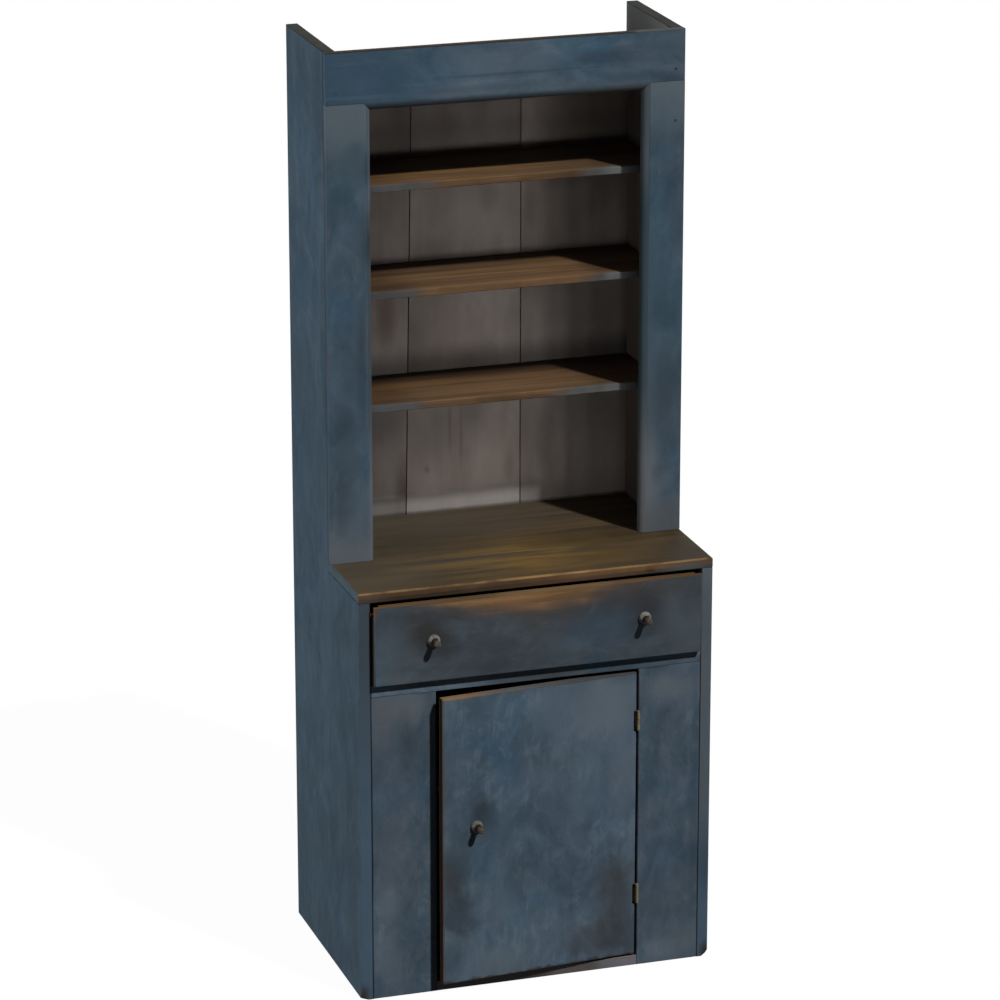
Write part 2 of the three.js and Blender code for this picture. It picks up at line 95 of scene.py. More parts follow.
# The studio around is white where the camera, glossy and clear surfaces see it, and adds little light.
# The same rays are found for the floor.
def seen_rays(tree):
    rays = tree.nodes.new("ShaderNodeLightPath")
    found = rays.outputs["Is Camera Ray"]
    for kind in ("Is Glossy Ray", "Is Transmission Ray"):
        either = tree.nodes.new("ShaderNodeMath")
        either.operation = "MAXIMUM"
        tree.links.new(found, either.inputs[0])
        tree.links.new(rays.outputs[kind], either.inputs[1])
        found = either.outputs[0]
    return found


studio_light = 0.008
world = bpy.data.worlds.new("studio")
world.use_nodes = True
scene.world = world
tree = world.node_tree
air = tree.nodes["Background"]
air.inputs["Color"].default_value = (1, 1, 1, 1)
least_light = tree.nodes.new("ShaderNodeMath")
least_light.operation = "MAXIMUM"
least_light.inputs[1].default_value = studio_light
tree.links.new(seen_rays(tree), least_light.inputs[0])
tree.links.new(least_light.outputs[0], air.inputs["Strength"])

# The floor is pale and plain. It is seen nearly white, with the cupboard's shadow on it.
floor_glow = 2.434
glow_share = 0.4
bpy.ops.mesh.primitive_plane_add(size=60, location=(0, 0, -0.0005))
floor = bpy.context.object
floor.name = "floor"
floor_paint = bpy.data.materials.new("floor_white")
floor_paint.use_nodes = True
tree = floor_paint.node_tree
matt = tree.nodes["Principled BSDF"]
matt.inputs["Base Color"].default_value = (0.05, 0.05, 0.05, 1)
matt.inputs["Roughness"].default_value = 0.9
matt.inputs["Specular IOR Level"].default_value = 0.0
glow = tree.nodes.new("ShaderNodeEmission")
glow.inputs["Strength"].default_value = floor_glow
share = tree.nodes.new("ShaderNodeMath")
share.operation = "MULTIPLY"
share.inputs[1].default_value = glow_share
mixed = tree.nodes.new("ShaderNodeMixShader")
tree.links.new(seen_rays(tree), share.inputs[0])
tree.links.new(share.outputs[0], mixed.inputs[0])
tree.links.new(matt.outputs[0], mixed.inputs[1])
tree.links.new(glow.outputs[0], mixed.inputs[2])
tree.links.new(mixed.outputs[0], tree.nodes["Material Output"].inputs["Surface"])
floor.data.materials.append(floor_paint)


# Side boards: one pine board a side, from the floor to the top, cut back above the counter.
# Old blue paint covers the outside and the front edges. The inside is taupe by the open shelves
# and bare below the counter, and the top ends are bare and dark grey.
def colour(code):
    parts = [int(code[i:i + 2], 16) / 255 for i in (0, 2, 4)]
    return tuple(c / 12.92 if c <= 0.04045 else ((c + 0.055) / 1.055) ** 2.4 for c in parts) + (1,)


class Value:
    """A number or colour that varies over a surface. Arithmetic on numbers adds Math nodes."""

    def __init__(self, finish, socket):
        self.finish = finish
        self.socket = socket

    def math(self, operation, first, second):
        return self.finish.node("ShaderNodeMath", {"operation": operation}, {0: first, 1: second})

    def __add__(self, other):
        return self.math("ADD", self, other)

    __radd__ = __add__

    def __sub__(self, other):
        return self.math("SUBTRACT", self, other)

    def __rsub__(self, other):
        return self.math("SUBTRACT", other, self)

    def __mul__(self, other):
        return self.math("MULTIPLY", self, other)

    __rmul__ = __mul__

    def __pow__(self, other):
        return self.math("POWER", self, other)

    def least(self, other):
        return self.math("MINIMUM", self, other)

    def most(self, other):
        return self.math("MAXIMUM", self, other)

    def size(self):
        return self.math("ABSOLUTE", self, 0)

    def ramp(self, low, high):
        """0 below low, 1 above high, smooth between."""
        return self.finish.node(
            "ShaderNodeMapRange",
            {"interpolation_type": "SMOOTHSTEP"},
            {"Value": self, "From Min": low, "From Max": high},
        )


class Finish:
    """A material whose colour, roughness and height are built up from patterns on the piece's own place."""

    def __init__(self, name, gloss=0.1, turned=0.0, about=(0.0, 0.0)):
        self.material = bpy.data.materials.new(name)
        self.material.use_nodes = True
        self.tree = self.material.node_tree
        self.shader = self.tree.nodes["Principled BSDF"]
        self.shader.inputs["Specular IOR Level"].default_value = gloss
        self.place = self.node("ShaderNodeTexCoord", {}, {}, "Object")
        if turned:
            shift = Vector((*about, 0)) - Matrix.Rotation(-turned, 3, "Z") @ Vector((*about, 0))
            back = {"Vector": self.place, "Location": shift, "Rotation": (0, 0, -turned)}
            self.place = self.node("ShaderNodeMapping", {}, back)
        self.x = self.node("ShaderNodeSeparateXYZ", {}, {0: self.place}, "X")
        self.y = self.node("ShaderNodeSeparateXYZ", {}, {0: self.place}, "Y")
        self.z = self.node("ShaderNodeSeparateXYZ", {}, {0: self.place}, "Z")

    def node(self, kind, settings, inputs, output=0):
        made = self.tree.nodes.new(kind)
        for setting, value in settings.items():
            setattr(made, setting, value)
        for socket, value in inputs.items():
            if isinstance(value, Value):
                self.tree.links.new(value.socket, made.inputs[socket])
            else:
                made.inputs[socket].default_value = value
        return Value(self, made.outputs[output])

    def noise(self, scale, seed, detail=3.0, rough=0.5, twist=0.0):
        """Cloudy noise around 0.5; scale is how many blobs a metre along x, y and z."""
        moved = self.node(
            "ShaderNodeMapping",
            {},
            {"Vector": self.place, "Location": (seed, seed * 1.7, seed * 0.6), "Scale": scale},
        )
        settings = {"Vector": moved, "Scale": 1.0, "Detail": detail, "Roughness": rough, "Distortion": twist}
        return self.node("ShaderNodeTexNoise", {}, settings, "Fac")

    def blend(self, share, first, second):
        kind = {"data_type": "RGBA"}
        return self.node("ShaderNodeMix", kind, {0: share, 6: first, 7: second}, 2)

    def dim(self, tint, factor):
        start = tint if isinstance(tint, Value) else tint[:3]
        return self.node("ShaderNodeVectorMath", {"operation": "SCALE"}, {0: start, "Scale": factor})

    def spot(self, centre, reach, soft=0.75, ragged=1.1, fine=16):
        """1 around a place, 0 past its ragged rim. An axis whose centre is None isn't counted."""
        counted = [(v, c, r) for v, c, r in zip((self.x, self.y, self.z), centre, reach) if c is not None]
        steps = [(value - middle) * (1 / half) for value, middle, half in counted]
        far = sum(step * step for step in steps) ** 0.5
        seed = 7 * sum(middle for value, middle, half in counted)
        far = far + (self.noise((fine, fine, fine), seed, 5, 0.6) - 0.5) * ragged
        return 1 - far.ramp(1 - soft, 1 + soft)

    def patches(self, plane, rows):
        """Reads rows that start with two centre figures and two reaches, on a plane such as xz."""
        for row in rows:
            centre, reach = [None] * 3, [None] * 3
            for axis, at, half in zip(plane, row[:2], row[2:4]):
                centre["xyz".index(axis)], reach["xyz".index(axis)] = at, half
            yield self.spot(centre, reach), row[4:]

    def spots(self, tint, plane, rows):
        """Lays stains or worn places over a tint. Each row ends with the share and the colour."""
        for patch, (share, code) in self.patches(plane, rows):
            tint = self.blend(patch * share, tint, colour(code))
        return tint

    def shades(self, tint, plane, rows):
        """Makes places of a tint darker or lighter. Each row ends with how many times as light it gets."""
        for patch, (times,) in self.patches(plane, rows):
            tint = self.dim(tint, 1 + patch * (times - 1))
        return tint

    def uneven(self, tint, pattern, spread=0.4):
        """A tint made darker and lighter by a pattern, by half the spread each way."""
        return self.dim(tint, 1 - spread / 2 + spread * pattern)

    def edge(self, low, high):
        """How far a point on a box is from the box's nearest edge."""
        a, b, c = [(v - l).least(h - v) for v, l, h in zip((self.x, self.y, self.z), low, high)]
        return a.least(b).most(a.most(b).least(c))

    def worn(self, low, high, reach, seed):
        """1 along the edges of a box where they are rubbed, in uneven lengths."""
        chips = self.noise((60, 60, 60), seed, 3, 0.6) - 0.5
        lengths = self.noise((7, 7, 7), seed + 2, 2, 0.5)
        return (1 - (self.edge(low, high) + chips * reach).ramp(reach * 0.35, reach)) * lengths.ramp(0.4, 0.6)

    def finished(self, tint, rough, height, depth):
        self.tree.links.new(tint.socket, self.shader.inputs["Base Color"])
        self.tree.links.new(rough.socket, self.shader.inputs["Roughness"])
        bump = self.node("ShaderNodeBump", {}, {"Height": height, "Distance": depth, "Strength": 1.0}, "Normal")
        self.tree.links.new(bump.socket, self.shader.inputs["Normal"])
        return self.material


def paint(finish, deep, pale, grey, grain, seed):
    """Old brushed paint: soft clouds, broken brush strokes along the grain, stains and dark specks."""
    along = {"x": (5, 8, 8), "z": (8, 8, 5)}[grain]
    clouds = finish.noise(along, seed, 5, 0.65, 0.8)
    small = finish.noise(tuple(3.5 * s for s in along), seed + 3, 5, 0.65, 0.6)
    brush = finish.noise({"x": (5, 75, 75), "z": (75, 75, 5)}[grain], seed + 5, 4, 0.65)
    speck = finish.noise((120, 120, 90), seed + 7, 2, 0.5)
    tint = finish.blend(clouds.ramp(0.38, 0.62), colour(deep), colour(pale))
    tint = finish.blend((small * 0.75 + brush * 0.25).ramp(0.5, 0.64) * 0.6, tint, colour(grey))
    smoke = finish.noise(tuple(1.7 * s for s in along), seed + 9, 5, 0.65, 1.0)
    tint = finish.dim(tint, 0.14 + 0.15 * brush + 0.50 * small + 1.07 * smoke)
    bluer = finish.noise((6, 6, 6), seed + 12, 5, 0.6, 0.5).ramp(0.52, 0.66)
    tint = finish.blend(bluer * 0.3, tint, finish.dim(colour("2f495e"), 0.5 + small))
    tint = finish.blend(speck.ramp(0.69, 0.76) * 0.3, tint, colour("20262c"))
    return tint, 0.6 + 0.3 * small, brush * 0.6 + small * 0.4


def timber(finish, pale, dark, along, seed):
    """Old pine: wide rings along the board, fine pores and stains."""
    order = {"x": (0, 1, 2), "y": (1, 0, 2), "z": (2, 1, 0)}[along]
    rings = [(1.4, 38, 38)[order.index(i)] for i in range(3)]
    pores = [(9, 420, 420)[order.index(i)] for i in range(3)]
    ring = finish.noise(rings, seed, 3, 0.6, 0.4)
    pore = finish.noise(pores, seed + 2, 2, 0.5)
    stain = finish.noise((5, 5, 5), seed + 4, 3, 0.55)
    tint = finish.blend(ring.ramp(0.36, 0.64), colour(pale), colour(dark))
    tint = finish.dim(tint, 0.65 + 0.3 * pore + 0.4 * stain)
    return tint, 0.5 + 0.3 * stain, pore * 0.4 + ring * 0.6


def bare_wood(finish, along, seed):
    """The unpainted pine on a painted board's hidden faces."""
    return timber(finish, "6d5a44", "4e3e2d", along, seed)[0]


def eased(node, body, material, radius, shortest=0.03):
    """A board of the frame with its long edges rounded, as planing and years of use leave them."""
    bpy.ops.object.select_all(action="DESELECT")
    piece = bpy.data.objects.new(node + "_board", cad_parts[node].data.copy())
    scene.collection.objects.link(piece)
    piece.select_set(True)
    bpy.context.view_layer.objects.active = piece
    bpy.ops.object.mode_set(mode="EDIT")
    bpy.ops.mesh.select_all(action="SELECT")
    bpy.ops.mesh.remove_doubles(threshold=0.00001)
    bpy.ops.mesh.dissolve_limited(angle_limit=math.radians(0.5))
    bpy.ops.object.mode_set(mode="OBJECT")
    mesh = piece.data
    faces = {}
    for face in mesh.polygons:
        for key in face.edge_keys:
            faces.setdefault(key, []).append(face.normal)
    weight = mesh.attributes.new("bevel_weight_edge", "FLOAT", "EDGE")
    for edge in mesh.edges:
        a, b = [mesh.vertices[i].co for i in edge.vertices]
        beside = faces.get(tuple(sorted(edge.vertices)), [])
        sharp = len(beside) == 2 and beside[0].angle(beside[1]) > math.radians(30)
        weight.data[edge.index].value = 1.0 if sharp and (a - b).length > shortest else 0.0
    bevel = piece.modifiers.new("worn_edges", "BEVEL")
    bevel.limit_method = "WEIGHT"
    bevel.width = radius
    bevel.segments = 3
    bpy.ops.object.modifier_apply(modifier="worn_edges")
    bpy.ops.object.shade_smooth_by_angle(angle=math.radians(35))
    flat = piece.modifiers.new("flat_faces", "WEIGHTED_NORMAL")
    flat.keep_sharp = True
    flat.weight = 100
    bpy.ops.object.modifier_apply(modifier="flat_faces")
    mesh.materials.clear()
    mesh.materials.append(material)
    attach(piece, body)
    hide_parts(node)


case_high = 2.0
side_inside = 0.3635
side_outside = 0.3885
lower_front = -0.2505
upper_front = -0.0285
counter_low = 0.886
counter_high = 0.908
for side, seed, outside, turn_low, turn_high, edge_top in (
    ("left", 1.0, -side_outside, 0.35, 0.85, "3c444b"), ("right", 6.0, side_outside, 0.2, 0.4, "50575d"),
):
    finish = Finish(side + "_side_blue")
    tint, rough, height = paint(finish, "30424f", "3c4e5b", "43515c", "z", seed)
    streaks = finish.noise((5, 26, 0.8), seed + 11, 3, 0.6)
    tint = finish.dim(tint, 0.9 + 0.2 * streaks)
    inner = 1 - (finish.x.size() + (streaks - 0.5) * 0.002).ramp(side_inside + 0.001, side_inside + 0.004)
    from_front = finish.y - lower_front
    inner = inner * from_front.ramp(0.003, 0.006)
    by_stile = (1 - (finish.x.size() - side_inside).ramp(0.0008, 0.003)) * (1 - from_front.ramp(0.002, 0.004))
    front_seam = 1 - (finish.y - upper_front + (streaks - 0.5) * 0.004).ramp(0.003, 0.008)
    front_seam = front_seam * (finish.z - counter_high).ramp(-0.001, 0.001)
    front_edge = (1 - from_front.ramp(0.0005, 0.0012)) * (1 - finish.z.ramp(counter_low, counter_low + 0.001))
    edge_tint = finish.blend(finish.z.ramp(turn_low, turn_high), colour("435463"), colour(edge_top))
    edge_tint = finish.uneven(edge_tint, finish.noise((9, 9, 5), seed + 15, 4, 0.6))
    tint = finish.blend(front_edge * 0.9, tint, edge_tint)
    tint = finish.shades(tint, "yz", [
        (-0.14, 0.98, 0.07, 0.06, 0.78), (-0.05, 1.22, 0.04, 0.08, 0.75), (-0.15, 0.78, 0.10, 0.07, 0.85),
        (-0.16, 1.52, 0.05, 0.08, 0.82), (-0.10, 0.35, 0.12, 0.15, 0.88),
        (0.20, 0.35, 0.04, 0.25, 1.1), (0.08, 1.65, 0.06, 0.20, 1.1),
    ])
    tint = finish.dim(tint, 1 - 0.28 * finish.spot((side_outside, lower_front, 0.22), (0.03, 0.03, 0.07)))
    darker = finish.spot((None, 0.12, 1.15), (None, 0.12, 0.16), 0.8, 1.1, 9)
    tint = finish.blend(darker * 0.35, tint, colour("2b3c49"))
    tint = finish.blend(by_stile.most(front_seam * 0.6), tint, colour("161616"))
    bare = bare_wood(finish, "z", seed + 20)
    shelf_side = (finish.z - counter_high).ramp(-0.02, 0)
    above_rail = finish.z.ramp(1.892, 1.902)
    # The inside wall by the shelves is lighter towards the front and darker towards the back: painted light and
    # shade in the recess.
    greyed = finish.dim(colour("747a7a"), (0.6 + 0.8 * streaks) * (1.7 - finish.y.ramp(0.0, 0.18)))
    washed = finish.blend(above_rail, finish.uneven(colour("756d68"), streaks), greyed)
    tint = finish.blend(inner, tint, finish.blend(shelf_side, bare, washed))
    chips = finish.noise((40, 40, 10), seed + 13)
    top_end = (finish.z + (chips - 0.5) * 0.004).ramp(case_high - 0.003, case_high - 0.001)
    tint = finish.blend(top_end, tint, finish.uneven(colour("262723"), chips, 0.8))
    corner = finish.spot((outside, lower_front, 0.008), (0.016, 0.014, 0.022))
    tint = finish.blend(corner * 0.85, tint, colour("2a201a"))
    made = finish.finished(tint, rough, height, 0.0005)
    eased(side + "_side_board", "case", made, 0.0015)


# Back boards: three wide boards, nailed on behind, with open seams between them.
# They have a thin taupe wash, stained brown beside the seams. They are painted lighter towards the counter
# and darker just above the shelves and from bay to bay, painted light and shade. The left board is the darkest.
shelf_middles = (1.2186, 1.4638, 1.6929)
back_marks = {
    "left": [
        (-0.184, 1.36, 0.018, 0.06, 0.45, "4a3a30"), (-0.14, 0.96, 0.02, 0.06, 0.6, "4a3a2e"),
        (-0.30, 1.76, 0.05, 0.06, 0.3, "56504b"),
    ],
    "middle": [
        (-0.06, 1.755, 0.04, 0.04, 0.45, "56504b"), (0.05, 1.60, 0.02, 0.03, 0.4, "5e5751"),
        (-0.15, 0.965, 0.010, 0.04, 0.5, "4a3a2e"), (0.095, 1.00, 0.010, 0.04, 0.3, "4b463c"),
        (-0.092, 1.004, 0.006, 0.008, 0.35, "3d3a34"), (-0.04, 1.10, 0.004, 0.05, 0.35, "4d4641"),
        (-0.015, 1.09, 0.004, 0.06, 0.3, "4d4641"),
    ],
    "right": [
        (0.215, 1.63, 0.05, 0.02, 0.4, "4f4844"), (0.14, 1.58, 0.012, 0.05, 0.35, "4f4844"),
        (0.175, 1.06, 0.018, 0.06, 0.3, "46413a"),
    ],
}
# Lighter and darker places on the back boards: painted light and shade.
back_shades = {
    "left": [(-0.20, 1.13, 0.05, 0.05, 0.8)],
    "middle": [
        (-0.01, 1.33, 0.06, 0.06, 1.3), (-0.128, 1.31, 0.025, 0.09, 0.78), (0.105, 1.31, 0.02, 0.09, 0.85),
        (0.08, 1.04, 0.05, 0.09, 1.2), (-0.10, 1.0, 0.08, 0.08, 0.9), (-0.125, 1.76, 0.03, 0.05, 0.75),
        (0.10, 1.57, 0.02, 0.06, 0.88), (-0.125, 1.57, 0.03, 0.06, 1.15),
    ],
    "right": [(0.145, 0.93, 0.03, 0.03, 0.65)],
}
for place, seed, bays, low_shade in (
    ("left", 12.0, (0.66, 0.80, 0.88, 0.72), 0.58),
    ("middle", 15.0, (1.0, 0.92, 0.86, 0.83), 1.0),
    ("right", 18.0, (0.82, 0.75, 0.94, 1.15), 0.95),
):
    finish = Finish("back_taupe_" + place, 0.05)
    clouds = finish.noise((5, 5, 2.5), seed, 4, 0.6)
    streaks = finish.noise((45, 45, 3), seed + 1, 4, 0.6)
    tint = finish.blend(clouds.ramp(0.35, 0.65), colour("7d756f"), colour("938b86"))
    tint = finish.dim(tint, 0.76 + 0.22 * streaks + 0.26 * clouds)
    # Painted light and shade by height: the wash is made lighter or darker in bands, bay by bay.
    painted_light_by_height = 1 + 0.18 * finish.z.ramp(1.15, 1.21) - 0.2 * finish.z.ramp(1.23, 1.35)
    painted_light_by_height = painted_light_by_height - 0.22 * finish.z.ramp(1.66, 1.72) + 0.34 * finish.z.ramp(1.75, 1.80)
    # Painted light: lighter towards the counter and darker under the lower shelf.
    painted_light_toward_counter = 1.5 - 0.65 * finish.z.ramp(0.96, 1.13)
    # Painted shade: darker just above the lower and middle shelves.
    painted_shade_above_shelves = 0.6 * (finish.z.ramp(1.20, 1.215) - finish.z.ramp(1.235, 1.295))
    painted_shade_above_shelves = painted_shade_above_shelves + 0.1 * (finish.z.ramp(1.46, 1.475) - finish.z.ramp(1.49, 1.53))
    # Painted light and shade: each board's tone in each bay comes from the bays column.
    shade = bays[0]
    for shelf_middle, below, above in zip(shelf_middles, bays, bays[1:]):
        shade = shade + finish.z.ramp(shelf_middle - 0.008, shelf_middle + 0.008) * (above - below)
    # Painted shadow of the right stile: the right board is darker towards the stile.
    if place == "right":
        shade = shade * (1.08 - 0.16 * finish.x.ramp(0.14, 0.22))
    tint = finish.dim(tint, painted_light_by_height * painted_light_toward_counter * (1 - painted_shade_above_shelves) * shade)
    tint = finish.spots(tint, "xz", back_marks[place])
    # Painted shade over the lit band: along the counter, as far right as the key light falls, the boards are
    # darker.
    low = 1 - (finish.z + (clouds - 0.5) * 0.02).ramp(0.943, 0.958)
    low = low * (1 - (finish.x + (clouds - 0.5) * 0.04).ramp(0.14, 0.18))
    tint = finish.blend(low * 0.95, tint, finish.dim(colour("716d69"), (0.85 + 0.3 * streaks) * low_shade))
    tint = finish.shades(tint, "xz", back_shades[place])
    joint = 1 - (finish.z + (streaks - 0.5) * 0.004).ramp(0.909, 0.916)
    tint = finish.blend(joint * 0.6, tint, colour("26221e"))
    behind = (finish.y + (streaks - 0.5) * 0.002).ramp(0.2345, 0.2365)
    below = 1 - finish.z.ramp(counter_low, counter_high)
    tint = finish.blend(behind.most(below), tint, bare_wood(finish, "z", seed + 20))
    made = finish.finished(tint, 0.75 + 0.2 * streaks, streaks * 0.5 + clouds * 0.5, 0.0005)
    eased("back_board_" + place, "case", made, 0.001)


# Top rail: a wide board across the front, its lower edge rounded over the opening.
# It is nailed to the side boards at both ends. The paint is bluest at the left.
finish = Finish("rail_blue")
tint, rough, height = paint(finish, "374a57", "4a5966", "505a62", "x", 21.0)
left_end = 1 - (finish.x + (finish.noise((6, 6, 12), 24) - 0.5) * 0.3).ramp(-0.22, -0.04)
left_tint = finish.uneven(colour("344959"), finish.noise((7, 12, 20), 29, 4, 0.6))
tint = finish.blend(left_end * 0.7, tint, left_tint)
scratches = finish.noise((2.5, 60, 90), 26, 2, 0.5).ramp(0.6, 0.66)
scratches = scratches * finish.noise((4, 4, 12), 28).ramp(0.45, 0.6)
tint = finish.blend(scratches * 0.10, tint, colour("6a7782"))
tint = finish.spots(tint, "xz", [
    (0.19, 1.955, 0.04, 0.012, 0.6, "333f49"), (0.365, 1.885, 0.03, 0.02, 0.6, "303c46"),
    (0.24, 1.905, 0.05, 0.015, 0.4, "36444f"), (0.01, 1.932, 0.13, 0.0035, 0.7, "2b353e"),
    (-0.02, 1.955, 0.10, 0.03, 0.5, "4d5a64"), (-0.10, 1.90, 0.05, 0.02, 0.4, "4e575e"),
    (0.02, 1.90, 0.20, 0.02, 0.3, "4e5559"), (0.09, 1.958, 0.05, 0.022, 0.5, "52616d"),
    (-0.06, 1.905, 0.10, 0.006, 0.4, "343f49"), (0.34, 1.97, 0.05, 0.02, 0.6, "41505c"),
])
tint = finish.shades(tint, "xz", [
    (0.15, 1.985, 0.08, 0.02, 1.3), (-0.06, 1.91, 0.05, 0.012, 1.2), (0.31, 1.905, 0.07, 0.012, 0.76),
    (-0.08, 1.95, 0.06, 0.03, 1.1), (0.25, 1.96, 0.03, 0.02, 0.85), (0.19, 1.965, 0.03, 0.015, 1.15),
])
thin_top = finish.z.ramp(case_high - 0.003, case_high - 0.001)
tint = finish.blend(thin_top, tint, finish.blend(finish.x.ramp(0.27, 0.29), colour("2e261f"), colour("434546")))
low_edge = 1 - (finish.z + (finish.noise((15, 15, 15), 30) - 0.5) * 0.008).ramp(1.884, 1.896)
low_tint = finish.blend(finish.x.ramp(0.1, 0.2), colour("303538"), colour("3d3f3f"))
tint = finish.blend(low_edge * 0.8, tint, low_tint)
rail_blue = finish.finished(tint, rough, height, 0.0005)
eased("top_rail", "case", rail_blue, 0.0015)

# Upper stiles: two boards that frame the open shelves, applied over the side boards' edges.
# The paint is greyer at the top and at the foot, and the inner edges are rubbed.
stile_marks = {
    "left": [
        (-0.334, 1.785, 0.02, 0.02, 0.5, "33434e"), (-0.36, 1.69, 0.012, 0.05, 0.4, "33434e"),
        (-0.35, 1.145, 0.02, 0.02, 0.4, "37424b"), (-0.325, 1.75, 0.03, 0.05, 0.4, "434f59"),
        (-0.335, 1.02, 0.035, 0.05, 0.5, "4a525a"), (-0.335, 1.845, 0.03, 0.03, 0.4, "505860"),
        (-0.364, 1.84, 0.025, 0.06, 0.35, "535d66"), (-0.355, 1.13, 0.03, 0.05, 0.4, "3a4147"),
        (-0.312, 1.60, 0.012, 0.08, 0.6, "343d44"), (-0.316, 1.41, 0.014, 0.07, 0.6, "343d44"),
        (-0.34, 1.26, 0.035, 0.10, 0.55, "323e48"), (-0.30, 1.02, 0.010, 0.04, 0.5, "4a5057"),
    ],
    "right": [
        (0.335, 1.56, 0.03, 0.18, 0.4, "334652"), (0.318, 1.02, 0.012, 0.16, 0.6, "4c5155"),
        (0.335, 1.20, 0.06, 0.13, 0.6, "323b43"), (0.352, 1.30, 0.02, 0.05, 0.3, "34424d"),
        (0.335, 1.40, 0.04, 0.16, 0.4, "2f3d47"), (0.322, 1.03, 0.020, 0.09, 0.55, "555a5e"),
        (0.354, 1.02, 0.02, 0.02, 0.4, "4a545c"),
    ],
}
stile_shades = {
    "left": [
        (-0.315, 1.33, 0.012, 0.10, 0.72), (-0.312, 1.69, 0.015, 0.035, 1.35),
        (-0.30, 1.59, 0.010, 0.03, 0.75), (-0.36, 1.05, 0.02, 0.06, 0.75), (-0.36, 1.20, 0.03, 0.03, 0.8),
        (-0.34, 1.38, 0.02, 0.08, 0.85), (-0.36, 1.52, 0.02, 0.04, 0.82), (-0.30, 1.76, 0.008, 0.03, 0.75),
    ],
    "right": [
        (0.355, 1.22, 0.03, 0.06, 0.78), (0.345, 1.39, 0.03, 0.04, 0.8), (0.365, 1.69, 0.02, 0.04, 0.82),
        (0.335, 1.04, 0.012, 0.02, 0.8), (0.34, 1.58, 0.015, 0.03, 1.15),
    ],
}
for side, seed, low_code, edge_at, rim_wide, foot, waist, head in (
    ("left", 31.0, "565a5e", 0.2935, 0.008, "515458", "343a3c", "49525a"),
    ("right", 36.0, "4b4e50", 0.2975, 0.013, "515254", "2d383b", "464b50"),
):
    finish = Finish("upper_stile_blue_" + side)
    tint, rough, height = paint(finish, "32434e", "3b4853", "444d55", "z", seed)
    up = (finish.z + (finish.noise((8, 8, 8), seed + 9) - 0.5) * 0.14).ramp(1.74, 1.87)
    high_tint = finish.uneven(colour("596369"), finish.noise((9, 9, 5), seed + 12, 4, 0.6))
    tint = finish.blend(up * 0.8, tint, high_tint)
    tint = finish.spots(tint, "xz", stile_marks[side])
    low_end = 1 - (finish.z + (finish.noise((9, 9, 9), seed + 16, 4, 0.6) - 0.5) * 0.16).ramp(0.94, 1.02)
    low_tint = finish.uneven(colour(low_code), finish.noise((12, 12, 7), seed + 18, 4, 0.6))
    tint = finish.blend(low_end * 0.7, tint, low_tint)
    rim = finish.x.size() - edge_at + (finish.noise((40, 40, 9), seed + 8) - 0.5) * 0.003
    rim_tint = finish.blend(finish.z.ramp(1.04, 1.28), colour(foot), colour(waist))
    rim_tint = finish.blend(finish.z.ramp(1.60, 1.74), rim_tint, colour(head))
    rim_tint = finish.uneven(rim_tint, finish.noise((9, 9, 9), seed + 14))
    tint = finish.blend((1 - rim.ramp(rim_wide - 0.001, rim_wide + 0.001)) * 0.8, tint, rim_tint)
    groove = rim.ramp(rim_wide - 0.001, rim_wide) * (1 - rim.ramp(rim_wide + 0.001, rim_wide + 0.003))
    tint = finish.blend(groove * finish.z.ramp(1.1, 1.25) * 0.4, tint, colour("262c31"))
    tint = finish.shades(tint, "xz", stile_shades[side])
    back_side = finish.y.ramp(-0.030, -0.028)
    tint = finish.blend(back_side, tint, colour("4c4643"))
    made = finish.finished(tint, rough, height, 0.0005)
    eased("upper_" + side + "_stile", "case", made, 0.0012)
    if side == "left":
        left_stile_blue = made


